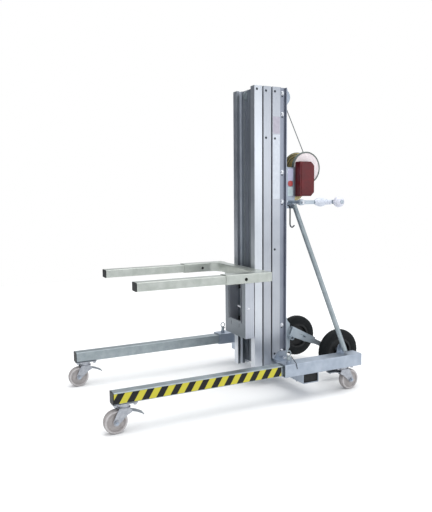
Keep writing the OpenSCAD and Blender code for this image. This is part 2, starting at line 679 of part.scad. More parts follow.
pin_y = -138;
corner_r = 45;          // radius of the corners between cross tube and sockets
module corner_fillet(s) translate([0, 0, fork_z - socket_h / 2]) linear_extrude(socket_h)
  mirror([s > 0 ? 0 : 1, 0]) translate([fork_x - socket_w / 2 - corner_r, carriage_y0 - corner_r])
    difference() {
      square(corner_r);
      circle(r = corner_r);
    }
module fork_frame() color("#aab4b6") in_frame() {
  translate([0, (carriage_y0 + carriage_y1) / 2, fork_z])
    along_x(-fork_x + socket_w / 2, fork_x - socket_w / 2) tube_rect(carriage_d, socket_h, socket_wall, tube_r);
  for (s = [-1, 1]) corner_fillet(s);
  for (s = [-1, 1]) translate([s * fork_x, 0, fork_z]) difference() {
    along_y(-socket_l, carriage_y1 + 4) tube_rect(socket_w, socket_h, socket_wall, tube_r);
    translate([0, pin_y, -3]) rod_xs(s, fork_pin_r, socket_w / 2 - socket_wall - over, socket_w / 2 + over);
  }
}
tine_back = -20;
pin_slack = 1;          // the pin's extra room in the fork
mark_w = 2;             // groove that marks how far the fork goes in
mark_d = 0.5;
module fork(s) translate([s * fork_x, 0, fork_z]) difference() {
  along_y(-fork_reach + cap_t, tine_back) tube_rect(tine_w, tine_h, tine_wall, tine_wall);
  translate([0, pin_y, -3]) rod_xs(s, fork_pin_r + pin_slack, tine_w / 2 - tine_wall - over, tine_w / 2 + over);
  box(-tine_w, tine_w, -socket_l - 2 * mark_w, -socket_l - mark_w, tine_h / 2 - mark_d, tine_h);
}
module fork_left() color("#9aa3a2") in_frame() fork(-1);
module fork_right() color("#9aa3a2") in_frame() fork(1);
module fork_cap(s) plug(s * fork_x, fork_z, tine_w, tine_h, tine_wall, -fork_reach + cap_t);
module fork_cap_left() color("#1b1d1f") in_frame() fork_cap(-1);
module fork_cap_right() color("#1b1d1f") in_frame() fork_cap(1);

// Pulleys

cheek_in = 24;
cheek_plate_t = 4;
head_half = 9;
head_axle_r = 8;
module pulley(r, rope, half, bore) turned_x([
  [bore + run, -half], [r - rope - 6, -half], [r - rope - 5, -half + 1.5], [r + rope + 1.5, -half + 1],
  [r + rope + 2, -half + 2], [r - rope, -rope * 0.7], [r - rope, rope * 0.7], [r + rope + 2, half - 2],
  [r + rope + 1.5, half - 1], [r - rope - 5, half - 1.5], [r - rope - 6, half], [bore + run, half]]);
module head_pulley() color("#cfd3d4") in_frame() translate([0, head_y, head_z])
  pulley(head_r, rope_r + 0.4, head_half, head_axle_r);
small_half = 5.5;
module middle_pulley() color("#cfd3d4") in_frame() translate([small_x, middle_pulley_y, small_z])
  pulley(small_r, transfer_r + 0.4, small_half, pin4);
module inner_pulley() color("#cfd3d4") in_frame() translate([-small_x, inner_pulley_y, small_z])
  pulley(small_r, transfer_r + 0.4, small_half, pin4);

cheek_back = 215;
cheek_r = 42;
guard_back = 28;        // place of the rope guard pin from the cheeks' centre
guard_up = 12;
guard_r = 5;
cheek_z = head_z + 23;
bracket_z0 = head_z - 28;
module pulley_bracket() color("#b4c0c8") in_frame() {
  for (s = [-1, 1]) {
    box_s(s, cheek_in, cheek_in + cheek_plate_t, outer_y + web_back + seat, cheek_back,
          bracket_z0, cheek_z + cheek_r);
    translate([0, cheek_back, cheek_z]) rod_xs(s, cheek_r, cheek_in, cheek_in + cheek_plate_t);
    box_s(s, cheek_in, half_w - 4, rail_back, rail_back + 5, bracket_z0, mast_top - 6);
    translate([0, head_y, head_z]) rod_xs(s, head_axle_r + 4, head_half + 1, cheek_in);
    translate([0, head_y, head_z])
      rod_xs(s, head_axle_r + 3, cheek_in + cheek_plate_t, cheek_in + cheek_plate_t + 5);
  }
  translate([0, head_y, head_z]) rod_x(head_axle_r, -cheek_in, cheek_in);
  translate([0, cheek_back + guard_back, cheek_z + guard_up]) rod_x(guard_r, -cheek_in, cheek_in);
}

// Winch: drum, idler and crank shaft lie on one line, so that the teeth mesh on it

drum_c = [drum_y, drum_z];
train_a = 238.47;       // direction from the drum to the crank shaft
drum_pr = gear_m * drum_teeth / 2;
idler_pr = gear_m * idler_teeth / 2;
pinion_pr = gear_m * pinion_teeth / 2;
idler_c = drum_c + (drum_pr + idler_pr) * dir(train_a);
crank_c = idler_c + (idler_pr + pinion_pr) * dir(train_a);
flank_a = 25;           // pressure angle
play = 0.3;             // play between the flanks
gear_x = 30;

function inv(a) = tan(a) * 180 / PI - a;
// Half the angle a tooth takes up at radius r
function tooth_half(z, r) = let (rp = gear_m * z / 2, rb = rp * cos(flank_a))
  90 / z - play / 4 / rp * 180 / PI + inv(flank_a) - (r > rb ? inv(acos(rb / r)) : 0);
function gear_radii(z) = let (rp = gear_m * z / 2, rb = rp * cos(flank_a), ro = rp + 0.9 * gear_m)
  [for (k = [0 : 5]) max(rb, rp - gear_m) + k / 5 * (ro - max(rb, rp - gear_m))];
function gear_points(z, a0) = let (rr = gear_radii(z), root = gear_m * z / 2 - 1.25 * gear_m)
  [for (t = [0 : z - 1]) let (a = a0 + t * 360 / z) each concat(
    [root * dir(a - tooth_half(z, rr[0]) - 0.4 * 12 / z)],
    [for (k = [0 : 5]) rr[k] * dir(a - tooth_half(z, rr[k]))],
    [for (k = [5 : -1 : 0]) rr[k] * dir(a + tooth_half(z, rr[k]))],
    [root * dir(a + tooth_half(z, rr[0]) + 0.4 * 12 / z)])];
module gear(z, a0, x0, x1) along_x(x0, x1) polygon(gear_points(z, a0));

shaft_r = 8;
barrel_x0 = -44;
flange_t = 3;
module winch_drum() color("#c9b45c") in_frame() translate([0, drum_y, drum_z]) difference() {
  union() {
    gear(drum_teeth, train_a, gear_x, gear_x + gear_w);
    rod_x(barrel_r, barrel_x0, gear_x);
    rod_x(drum_flange_r, barrel_x0 - flange_t, barrel_x0);
    rod_x(20, barrel_x0 - flange_t, gear_x + gear_w + 6);
  }
  rod_x(shaft_r + run, barrel_x0 - 20, gear_x + 40);
}

idler_r = 9;
module idler_gear() color("#c9b45c") in_frame() translate([0, idler_c[0], idler_c[1]]) difference() {
  union() {
    gear(idler_teeth, train_a + 180 + 180 / idler_teeth, gear_x, gear_x + gear_w);
    rod_x(18, gear_x - 14, gear_x + gear_w + 6);
  }
  rod_x(idler_r + run, gear_x - 20, gear_x + 40);
}

console_z0 = 898;
console_z1 = 1108;
console_y1 = 265;
module side_plate() difference() {
  polygon([
    [rail_back, console_z0], [console_y1, console_z0], [console_y1 + 6, console_z0 + 60],
    [idler_c[0] + 26, idler_c[1] - 4], [drum_y + 22, drum_z - 26], [drum_y + 22, drum_z + 14],
    [drum_y + 8, drum_z + 24], [drum_y - 20, drum_z + 24], [console_y1 - 8, console_z1],
    [rail_back, console_z1]]);
  translate(crank_c) circle(r = crank_shaft_r + run);
}
brace_lean = 5;         // room for the leaning end of the brace beside the console
brace_top = [console_in + console_t + brace_r + brace_lean, 259.5, 905];
shaft_collar_r = 13;    // collar at the left end of the drum's shaft
shaft_collar_t = 5;
module winch_console() color("#b9c6ce") in_frame() {
  for (s = [-1, 1]) difference() {
    along_xs(s, console_in, console_in + console_t) side_plate();
    translate([0, brace_top[1], brace_top[2]])
      rod_xs(s, bolt_r + seat, console_in - over, console_in + console_t + over);
  }
  // Back plate on the bolt rails
  box(-half_w + 4, half_w - 4, rail_back, rail_back + 5, console_z0, console_z1);
  // Fixed shafts of the drum and the idler
  translate([0, drum_y, drum_z]) {
    rod_x(shaft_r, -console_in, console_in);
    rod_xs(-1, shaft_collar_r, console_in + console_t, console_in + console_t + shaft_collar_t);
  }
  translate([0, idler_c[0], idler_c[1]]) rod_x(idler_r, 8, console_in);
  translate([0, idler_c[0], idler_c[1]]) rod_x(idler_r + 4, 8, gear_x - 15);
}

cover_x0 = console_in + console_t + seat;
cover_x1 = 100;
cover_t = 3;
cover_y0 = 273;
cover_y1 = 359;
cover_z0 = 960;
cover_z1 = 1136;
cover_cut = 20;
cover_hole_z = 1050;
module cover_shape(g) polygon([
  [cover_y0 + g, cover_z0 + g], [cover_y1 - cover_cut, cover_z0 + g], [cover_y1 - g, cover_z0 + cover_cut],
  [cover_y1 - g, cover_z1 - cover_cut], [cover_y1 - cover_cut, cover_z1 - g], [cover_y0 + g, cover_z1 - g]]);
module gear_cover() color("#7a2c33") in_frame() difference() {
  along_x(cover_x0, cover_x1) cover_shape(0);
  along_x(cover_x0 - over, cover_x1 - cover_t) cover_shape(cover_t);
  translate([0, cover_y1 - cover_cut, cover_hole_z]) rod_x(5, cover_x1 - cover_t - over, cover_x1 + over);
}

arm_t = 8;
crank_w = 20;
spacer_r = 10;
bulge_r = 23;           // radius of the plastic sleeve on the arm, at its middle
bulge_y = [76, 152];    // its ends, from the crank shaft
neck_r = 13.5;
neck_y = [149, 177];
grip_pin_r = 6;
grip_x0 = crank_x + arm_t + 8;
grip_x1 = grip_x0 + 2 * grip_r - 6;
crank_end = [crank_c[0] + crank_l, crank_c[1]];
module crank() color("#aab2b4") in_frame() {
  translate([0, crank_c[0], crank_c[1]]) {
    rod_x(crank_shaft_r, -console_in - console_t - 6, crank_x + arm_t + 6);
    rod_x(15, crank_x - 14, crank_x + arm_t);
    rod_x(spacer_r, console_in + console_t + 8, crank_x);
    translate([crank_x + arm_t / 2, 0, 0]) rotate([-90, 0, 0]) {
      rotate_extrude() polygon(concat([[0, bulge_y[0]]], [for (k = [0 : 8])
        [crank_w / 2 + (bulge_r - crank_w / 2) * sin(180 * k / 8), bulge_y[0] + (bulge_y[1] - bulge_y[0]) * k / 8]],
        [[0, bulge_y[1]]]));
      rod_z(neck_r, neck_y[0], neck_y[1]);
    }
    gear(pinion_teeth, train_a + 180, gear_x, gear_x + gear_w);
    rod_x(crank_shaft_r + 4, -console_in - console_t - 6, -console_in - console_t - seat);
    rod_x(crank_shaft_r + 4, console_in + console_t + seat, console_in + console_t + 8);
    along_x(crank_x, crank_x + arm_t) {
      translate([0, -crank_w / 2]) square([crank_l, crank_w]);
      circle(r = crank_w / 2);
      translate([crank_l, 0]) circle(r = crank_w / 2);
    }
  }
  translate([0, crank_end[0], crank_end[1]]) {
    rod_x(grip_pin_r, crank_x, grip_x1 + 3);
    rod_x(grip_pin_r + 5, crank_x + arm_t, grip_x0 - seat);
    rod_x(grip_pin_r + 3, grip_x1 + seat, grip_x1 + 4);
  }
}
grip_mid = (grip_x0 + grip_x1) / 2;
grip_half = (grip_x1 - grip_x0) / 2;
grip_steps = 16;
grip_cut = acos(grip_half / grip_r);
module crank_grip() color("#e4e2dc") in_frame() translate([grip_mid, crank_end[0], crank_end[1]])
  turned_x(concat([[grip_pin_r + run, -grip_half]],
    [for (k = [0 : grip_steps]) let (a = 180 - grip_cut - k * (180 - 2 * grip_cut) / grip_steps)
      [grip_r * sin(a), grip_r * cos(a)]],
    [[grip_pin_r + run, grip_half]]));

// Braces

brace_wall = 2;
brace_len = norm(brace_top - brace_foot);
module brace(s) {
  span = [s * (brace_top[0] - brace_foot[0]), brace_top[1] - brace_foot[1], brace_top[2] - brace_foot[2]];
  translate([s * brace_foot[0], brace_foot[1], brace_foot[2]])
    rotate([0, acos(span[2] / brace_len), atan2(span[1], span[0])]) difference() {
      cylinder(r = brace_r, h = brace_len + 10);
      translate([0, 0, -over]) cylinder(r = brace_r - brace_wall, h = brace_len + 10 + 2 * over);
    }
  // Upper and lower bolts
  translate([0, brace_top[1], brace_top[2]]) {
    rod_xs(s, bolt_r, console_in - 6, brace_top[0] + brace_r - 3);
    rod_xs(s, bolt_r + 4, console_in - 8, console_in - seat);
  }
  translate([0, lug_bolt[0], lug_bolt[1]]) {
    rod_xs(s, bolt_r, lug_x0 - 6, brace_foot[0] + 2);
    rod_xs(s, bolt_r + 4, lug_x0 - 6, lug_x0 - seat);
  }
}
module brace_tubes() color("#b3bec4") in_frame() for (s = [-1, 1]) brace(s);

// Ropes

// A tube along a path of points
module tube_path(path, r, sides) {
  n = len(path);
  tangent = [for (i = [0 : n - 1]) let (d = path[min(i + 1, n - 1)] - path[max(i - 1, 0)]) d / norm(d)];
  rings = [for (i = [0 : n - 1])
    let (a = cross([1, 0, 0], tangent[i]), u = a / norm(a), v = cross(tangent[i], u)) for (k = [0 : sides - 1]) path[i] + r * (cos(k * 360 / sides) * u + sin(k * 360 / sides) * v)];
  faces = concat(
    [for (i = [0 : n - 2], k = [0 : sides - 1])
      [i * sides + k, (i + 1) * sides + (k + 1) % sides, i * sides + (k + 1) % sides]],
    [for (i = [0 : n - 2], k = [0 : sides - 1])
      [i * sides + k, (i + 1) * sides + k, (i + 1) * sides + (k + 1) % sides]],
    [for (k = [1 : sides - 2]) [0, k, k + 1]],
    [for (k = [1 : sides - 2]) [(n - 1) * sides, (n - 1) * sides + k + 1, (n - 1) * sides + k]]);
  polyhedron(points = rings, faces = faces, convexity = 8);
}

wind_r = barrel_r + rope_r + 0.7;
head_c = [head_y, head_z];
lead_a = angle_to(head_c, drum_c) + acos((head_r - wind_r) / dist(head_c, drum_c));
wind_steps = 24;
wind_n = rope_turns * wind_steps;
lead_len = 2 * rope_r;
lane = 2 * rope_r + 0.6;        // the turns lie beside the run that leaves the drum
// The turns on the drum, from the far flange towards the run to the head pulley
wind_path = concat(
  [let (a = lead_a - 360 * rope_turns, p = drum_c + wind_r * dir(a) - lead_len * dir(a + 90))
    [-lane - rope_pitch * rope_turns, p[0], p[1]]],
  [for (k = [0 : wind_n]) let (p = drum_c + wind_r * dir(lead_a - 360 * rope_turns + k * 360 / wind_steps))
    [-lane - rope_pitch * (rope_turns - k / wind_steps), p[0], p[1]]]);
wind_gap = min([for (i = [0 : 2 : wind_n - wind_steps / 2], j = [i + wind_steps / 2 : wind_n])
  norm(wind_path[i + 1] - wind_path[j + 1])]) - 2 * rope_r;
echo(least_gap_between_turns = wind_gap);
module rope_winding() color("#6f777b") in_frame() tube_path(wind_path, rope_r, 6);

arc_steps = 14;
lift_path = concat(
  [let (p = drum_c + wind_r * dir(lead_a)) [0, p[0], p[1]]],
  [for (k = [0 : arc_steps]) let (p = head_c + head_r * dir(lead_a + k / arc_steps * (180 - lead_a)))
    [0, p[0], p[1]]]);
module lift_rope() color("#6f777b") in_frame() tube_path(lift_path, rope_r, 8);
module rope_run() color("#6f777b") in_frame() translate([0, run_y, 0])
  rod_z(rope_r, lift_anchor_z + anchor_h + seat, head_z - seat);

half_steps = 8;
module transfer_rope(x, y, z_back, z_low) tube_path(concat(
  [[x, y + small_r, z_back]],
  [for (k = [0 : half_steps]) let (a = k * 180 / half_steps)
    [x, y + small_r * cos(a), small_z + small_r * sin(a)]],
  [[x, y - small_r, z_low]]), transfer_r, 8);
module rope_middle() color("#6f777b") in_frame()
  transfer_rope(small_x, middle_pulley_y, top_anchor_z + anchor_h + seat, anchor_z + anchor_h + seat);
module rope_inner() color("#6f777b") in_frame()
  transfer_rope(-small_x, inner_pulley_y, top_anchor_z + anchor_h + seat, carriage_low + 3 + anchor_h + seat);

cross_tube();
cross_tube_caps();
sleeve_left();
sleeve_right();
brace_tubes();
axle_arms();
transport_axle();
tyre_left();
tyre_right();
wheel_hub_left();
wheel_hub_right();
lock_screw_left();
lock_screw_right();
leg_left();
leg_right();
leg_cap_left();
leg_cap_right();
hazard_tape();
caster_plate_front_left();
caster_plate_front_right();
caster_plates_rear();
caster_fork_front_left();
caster_fork_front_right();
caster_fork_rear_left();
caster_fork_rear_right();
caster_wheel_front_left();
caster_wheel_front_right();
caster_wheel_rear_left();
caster_wheel_rear_right();
brake_pedal_front_left();
brake_pedal_front_right();
brake_pedal_rear_left();
brake_pedal_rear_right();
mast_outer();
mast_middle();
mast_inner();
carriage_frame();
fork_frame();
fork_left();
fork_right();
fork_cap_left();
fork_cap_right();
shoes_middle();
shoes_inner();
shoes_carriage();
pulley_bracket();
head_pulley();
middle_pulley();
inner_pulley();
winch_console();
winch_drum();
idler_gear();
gear_cover();
crank();
crank_grip();
rope_winding();
lift_rope();
rope_run();
rope_middle();
rope_inner();
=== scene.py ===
# %% [markdown]
# The subject is a hand-cranked material hoist: a wheeled steel base, an aluminium mast of three
# nested sections, a fork carriage and a rope winch. The CAD part is the fixed frame, so it is loaded
# first and stays where it is. This script adds finishes, trim, light and a camera around it.

# %% Load the frame
import json
import math

import bmesh
import bpy
from mathutils import Matrix, Vector
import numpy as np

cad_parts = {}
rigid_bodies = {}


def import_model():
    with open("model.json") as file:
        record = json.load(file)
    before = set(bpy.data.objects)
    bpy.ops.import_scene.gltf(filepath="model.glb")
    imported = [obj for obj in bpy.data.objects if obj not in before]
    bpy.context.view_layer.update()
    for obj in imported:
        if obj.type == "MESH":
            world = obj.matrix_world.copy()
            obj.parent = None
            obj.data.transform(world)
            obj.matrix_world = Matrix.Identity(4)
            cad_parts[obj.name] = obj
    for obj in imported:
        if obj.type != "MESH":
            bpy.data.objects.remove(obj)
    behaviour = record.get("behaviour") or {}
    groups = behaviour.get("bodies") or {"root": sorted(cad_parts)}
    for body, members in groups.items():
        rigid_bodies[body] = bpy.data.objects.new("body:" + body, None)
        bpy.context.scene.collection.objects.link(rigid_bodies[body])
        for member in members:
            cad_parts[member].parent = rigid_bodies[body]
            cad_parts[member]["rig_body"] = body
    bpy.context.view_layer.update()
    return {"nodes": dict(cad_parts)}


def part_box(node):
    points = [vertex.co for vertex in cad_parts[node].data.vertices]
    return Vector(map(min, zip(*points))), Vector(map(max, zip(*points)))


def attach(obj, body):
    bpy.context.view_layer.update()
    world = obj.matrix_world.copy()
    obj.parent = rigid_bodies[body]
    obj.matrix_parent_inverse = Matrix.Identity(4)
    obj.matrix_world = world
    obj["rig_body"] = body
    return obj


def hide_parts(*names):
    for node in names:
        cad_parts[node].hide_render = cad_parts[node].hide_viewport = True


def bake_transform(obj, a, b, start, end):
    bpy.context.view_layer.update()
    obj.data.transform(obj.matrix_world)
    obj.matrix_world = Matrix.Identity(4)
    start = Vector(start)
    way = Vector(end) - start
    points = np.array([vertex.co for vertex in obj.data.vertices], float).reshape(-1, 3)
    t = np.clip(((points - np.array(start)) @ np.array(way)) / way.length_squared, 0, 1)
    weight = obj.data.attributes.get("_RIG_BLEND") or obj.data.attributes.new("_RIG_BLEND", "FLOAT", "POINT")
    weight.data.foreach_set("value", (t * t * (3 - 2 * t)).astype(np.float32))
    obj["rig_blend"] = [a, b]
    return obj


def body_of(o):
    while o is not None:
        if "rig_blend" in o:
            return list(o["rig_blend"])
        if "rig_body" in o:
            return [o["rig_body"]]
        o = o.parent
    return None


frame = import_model()

# %% [markdown]
# The real hoist is drawn in millimetres and Blender works in metres, so one factor turns the first
# into the second. Where it can, a piece takes its place from the box of the CAD node that it sits on,
# so that the two stay together. The rest is typed in millimetres, from the mast's front face.

# %% Units and places
MM = 0.001


def place(node):
    """Lowest and highest corner of a CAD node."""
    low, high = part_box(node)
    return Vector(low), Vector(high)


def middle(node):
    """Centre of a CAD node's box."""
    low, high = place(node)
    return (low + high) / 2


mast_front = place("mast_inner")[0].y


def at(x, y, z):
    """A point from millimetres: to the right, behind the mast's front face, above the floor."""
    return Vector((x * MM, y * MM + mast_front, z * MM))


def outward(x):
    """The direction along X that leads away from the hoist's middle."""
    return Vector((math.copysign(1, x), 0, 0))


def carrier(node):
    """Name of the body that a CAD node rides on."""
    return body_of(frame["nodes"][node])[0]


mast_low, mast_high = place("mast_outer")
print("mast:", [round(v / MM) for v in mast_high - mast_low], "mm")

# %% [markdown]
# Every finish is a small node tree. A colour is read off a photograph or a paint chart as an sRGB hex
# value, and shaders work in linear light, so one function turns the first into the second. Another
# adds any kind of node with its settings and links, which keeps a tree to one line for each node.

# %% Node helpers
def linear(colour):
    """An sRGB hex colour as linear red, green, blue and alpha."""
    parts = [int(colour[i:i + 2], 16) / 255 for i in (1, 3, 5)]
    return [v / 12.92 if v <= 0.04045 else ((v + 0.055) / 1.055) ** 2.4 for v in parts] + [1.0]


def feed(tree, node, inputs):
    """Sets a node's inputs: an output is linked, and a constant is set on the socket itself."""
    for name, value in inputs.items():
        if isinstance(value, bpy.types.NodeSocket):
            tree.links.new(value, node.inputs[name])
        else:
            node.inputs[name].default_value = value


def add(tree, kind, inputs=None, stops=(), **settings):
    """Adds one node; a colour ramp's stops are (position, hex colour) pairs."""
    made = tree.nodes.new(kind)
    for name, value in settings.items():
        setattr(made, name, value)
    feed(tree, made, inputs or {})
    if stops:
        elements = made.color_ramp.elements
        while len(elements) < len(stops):
            elements.new(0.5)
        for element, (position, colour) in zip(elements, stops):
            element.position = position
            element.color = linear(colour)
    return made


def finish_tree(name):
    """A new material with its tree, its Principled shader and the object's own coordinates."""
    material = bpy.data.materials.new(name)
    material.use_nodes = True
    tree = material.node_tree
    place_of = add(tree, "ShaderNodeTexCoord").outputs["Object"]
    return material, tree, tree.nodes["Principled BSDF"], place_of


print("helpers: feed, add, finish_tree; white is", linear("#ffffff"))

# %% [markdown]
# The mast is extruded aluminium, left as it came from the press. The die leaves fine straight lines
# along the profile, so a noise is drawn out along Z, and handling leaves soft cloudy patches. Real
# die lines are 0.1 mm apart, far finer than a pixel, so they are drawn 1.6 mm apart. Shade could be
# painted by hand. Here painted shade is a tint with a few rules on where a face lies, so it needs no
# picture: the inner section's channel gets painted shade in its recess, most of all at its foot, the
# outer section's rails get painted shade, and so does the carriage's front, on faces that look forwards.

# %% Extruded aluminium
line_gap = 1.6 * MM
line_length = 300 * line_gap
cloud_size = 90 * MM
# These rules mark where a tint darkens the aluminium as painted shade: the channel's recess, its foot, the
# rails and faces that look forwards.
in_channel = [("across", "LESS_THAN", 70.7 * MM), ("depth", "GREATER_THAN", mast_front + 1 * MM)]
at_foot = in_channel + [("height", "LESS_THAN", 250 * MM)]
on_rails = [("depth", "GREATER_THAN", mast_front + 146 * MM)]
on_front_faces = [("facing", "LESS_THAN", -0.9)]


def painted_shade_tint(tree, place_of, colour, tint, rules):
    """Multiplies a colour by a tint, as painted shade, where a face keeps to every (measure, comparison,
    limit) rule.
    """
    axes = add(tree, "ShaderNodeSeparateXYZ", {"Vector": place_of}).outputs
    across = add(tree, "ShaderNodeMath", {0: axes["X"]}, operation="ABSOLUTE").outputs[0]
    normal = add(tree, "ShaderNodeNewGeometry").outputs["Normal"]
    facing = add(tree, "ShaderNodeSeparateXYZ", {"Vector": normal}).outputs["Y"]
    measures = {"across": across, "depth": axes["Y"], "height": axes["Z"], "facing": facing}
    inside = 1.0
    for measure, comparison, limit in rules:
        kept = add(tree, "ShaderNodeMath", {0: measures[measure], 1: limit}, operation=comparison)
        inside = add(tree, "ShaderNodeMath", {0: inside, 1: kept.outputs[0]}, operation="MULTIPLY").outputs[0]
    # Sockets 6 and 7 are the Mix node's two colours, and its third output is their mix.
    mixed = add(tree, "ShaderNodeMix", {"Factor": inside, 6: colour, 7: linear(tint)},
                data_type="RGBA", blend_type="MULTIPLY")
    return mixed.outputs[2]


def extruded_aluminium(name, light, dark, *painted_shades):
    """Mill-finish aluminium drawn along Z, with painted shade given as (tint, rules) pairs."""
    material, tree, shader, place_of = finish_tree(name)
    drawn = add(tree, "ShaderNodeMapping", {
        "Vector": place_of, "Scale": (1 / line_gap, 1 / line_gap, 1 / line_length)})
    lines = add(tree, "ShaderNodeTexNoise", {
        "Vector": drawn.outputs[0], "Scale": 1.0, "Detail": 3}).outputs["Fac"]
    clouds = add(tree, "ShaderNodeTexNoise", {
        "Vector": place_of, "Scale": 1 / cloud_size, "Detail": 5}).outputs["Fac"]
    sum_of_both = add(tree, "ShaderNodeMath", {0: lines, 1: clouds}, operation="ADD").outputs[0]
    tone = add(tree, "ShaderNodeMath", {0: sum_of_both, 1: 0.5}, operation="MULTIPLY").outputs[0]
    colour = add(tree, "ShaderNodeValToRGB", {"Fac": tone}, [(0.3, dark), (0.7, light)]).outputs["Color"]
    for tint, rules in painted_shades:
        colour = painted_shade_tint(tree, place_of, colour, tint, rules)
    rough = add(tree, "ShaderNodeMapRange", {"Value": clouds, "To Min": 0.3, "To Max": 0.46})
    relief = add(tree, "ShaderNodeBump", {"Height": lines, "Distance": 0.05 * MM, "Strength": 0.35})
    feed(tree, shader, {"Base Color": colour, "Roughness": rough.outputs["Result"], "Metallic": 0.9,
                        "Normal": relief.outputs["Normal"]})
    return material


aluminium = extruded_aluminium("Mill finish extruded aluminium", "#bfc3c9", "#aaaeb6")
# The inner section gets painted shade in its channel, darkest at its foot.
inner_aluminium = extruded_aluminium("Mill finish aluminium, dusty channel", "#d9dde2", "#c4c8cf",
                                     ("#c3c5c8", in_channel), ("#aeb2b4", at_foot))
# The outer section's rails get painted shade.
outer_aluminium = extruded_aluminium("Mill finish aluminium, dull rail", "#bfc3c9", "#aaaeb6",
                                     ("#ccced6", on_rails))
# The carriage gets painted shade on its front faces.
carriage_aluminium = extruded_aluminium("Mill finish aluminium, scuffed front", "#c6cad1", "#b2b6bf",
                                        ("#acb0b0", on_front_faces))
print("finishes:", aluminium.name, inner_aluminium.name, outer_aluminium.name, carriage_aluminium.name)

# %% [markdown]
# The base, the braces and the winch console are zinc-plated steel. Zinc has a cool bluish cast and a
# faint mottling from the bath, and it is a little rougher than bare aluminium. The same plating looks
# different from part to part: pale on thin tubes, creamy on the forks, dull on small brackets, yellow
# where it is passivated. So one function makes them all, and only colours and the mottling's size in
# millimetres differ. The crystals under it are drawn 1.5 mm wide, coarser than real ones, to show.

# %% Plated steel
crystal_size = 1.5 * MM


def plated_steel(name, light, dark, mottle_size=45, rough=(0.3, 0.46), metallic=0.85):
    """Plated steel, mottled in patches of so many mm."""
    material, tree, shader, place_of = finish_tree(name)
    mottle = add(tree, "ShaderNodeTexNoise", {
        "Vector": place_of, "Scale": 1 / (mottle_size * MM), "Detail": 6, "Roughness": 0.62}).outputs["Fac"]
    crystals = add(tree, "ShaderNodeTexNoise", {
        "Vector": place_of, "Scale": 1 / crystal_size, "Detail": 2}).outputs["Fac"]
    colour = add(tree, "ShaderNodeValToRGB", {"Fac": mottle}, [(0.34, dark), (0.66, light)])
    sheen = add(tree, "ShaderNodeMapRange", {"Value": mottle, "To Min": rough[0], "To Max": rough[1]})
    relief = add(tree, "ShaderNodeBump", {"Height": crystals, "Distance": 0.04 * MM, "Strength": 0.3})
    feed(tree, shader, {"Base Color": colour.outputs["Color"], "Roughness": sheen.outputs["Result"],
                        "Metallic": metallic, "Normal": relief.outputs["Normal"]})
    return material


base_zinc = plated_steel("Zinc-plated steel, bluish", "#aab3bf", "#98a2af")
tube_zinc = plated_steel("Zinc-plated tube, pale", "#a3acb0", "#919b9f")
crank_zinc = plated_steel("Zinc-plated crank, bright", "#b9c2ca", "#a7b1ba")
fork_zinc = plated_steel("Zinc-plated tube, cream", "#c3c7c1", "#b1b6af")
arm_zinc = plated_steel("Zinc-plated bracket, dull", "#b8c2ca", "#a6b1ba", metallic=0.45)
caster_zinc = plated_steel("Pressed zinc-plated steel", "#b0b3b9", "#93979f", 12)
pedal_zinc = plated_steel("Worn zinc-plated pedal", "#8f959b", "#747a81", 12)
yellow_zinc = plated_steel("Yellow passivated steel", "#b7ab80", "#a1956b", 30)
dark_steel = plated_steel("Blackened steel", "#4a4f55", "#31353a", 8)
bright_steel = plated_steel("Bright zinc-plated fastener", "#e6e8ec", "#c9ccd2", 8, rough=(0.22, 0.34))
rope_steel = plated_steel("Drawn steel wire", "#a7adb0", "#6b7275", 3)
print("finishes:", base_zinc.name, tube_zinc.name, fork_zinc.name)

# %% [markdown]
# Caps, tyres, caster treads and rims and the crank's sleeve and grip are moulded, the labels are vinyl
# film, and the drum's disc and rim are painted. What the eye reads on all of them is a fine grain,
# which breaks the highlight into a soft sheen, over slow shifts of tone. Real grain is about 0.1 mm,
# so it is drawn 2 to 3 mm wide to show. Smooth vinyl and paint get a lower roughness than rubber, and
# dusty rubber hardly reflects at all, so its share of reflected light is set low.

# %% Plastic, rubber, paint and vinyl
tone_shift = 18 * MM


def moulded(name, light, dark, rough=(0.45, 0.6), grain=2, gloss=0.5):
    """A moulded or coated surface with a grain of so many mm."""
    material, tree, shader, place_of = finish_tree(name)
    fine = add(tree, "ShaderNodeTexNoise", {
        "Vector": place_of, "Scale": 1 / (grain * MM), "Detail": 3}).outputs["Fac"]
    broad = add(tree, "ShaderNodeTexNoise", {
        "Vector": place_of, "Scale": 1 / tone_shift, "Detail": 4}).outputs["Fac"]
    colour = add(tree, "ShaderNodeValToRGB", {"Fac": broad}, [(0.3, dark), (0.7, light)])
    sheen = add(tree, "ShaderNodeMapRange", {"Value": fine, "To Min": rough[0], "To Max": rough[1]})
    relief = add(tree, "ShaderNodeBump", {"Height": fine, "Distance": 0.06 * MM, "Strength": 0.4})
    feed(tree, shader, {"Base Color": colour.outputs["Color"], "Roughness": sheen.outputs["Result"],
                        "Specular IOR Level": gloss, "Normal": relief.outputs["Normal"]})
    return material


black_plastic = moulded("Moulded black polyethylene", "#1c1e20", "#101213", gloss=0.3)
tyre_rubber = moulded("Black tyre rubber", "#161a1c", "#0b0e10", (0.6, 0.75), grain=3, gloss=0.2)
caster_rubber = moulded("Grey non-marking rubber", "#a5a09f", "#8f8a89")
caster_rim = moulded("Pale polyamide rim", "#bcb8b8", "#a8a4a4", (0.35, 0.5))
sleeve_plastic = moulded("Milky translucent sleeve plastic", "#d3d8e2", "#c0c6d2", (0.25, 0.38))
grip_plastic = moulded("Ivory phenolic plastic", "#dcdde6", "#c9cbd8", (0.22, 0.34))
pale_paint = moulded("Pale wheel paint", "#f1e8e8", "#e0d6d8", (0.25, 0.38))
rim_paint = moulded("Grey-green wheel rim", "#67726c", "#525c57", (0.35, 0.5))
pale_label = moulded("White vinyl label", "#d3d9e1", "#c4cad3", (0.25, 0.35))
pink_label = moulded("Greyish pink vinyl label", "#b9b4c0", "#aaa5b2", (0.3, 0.4))
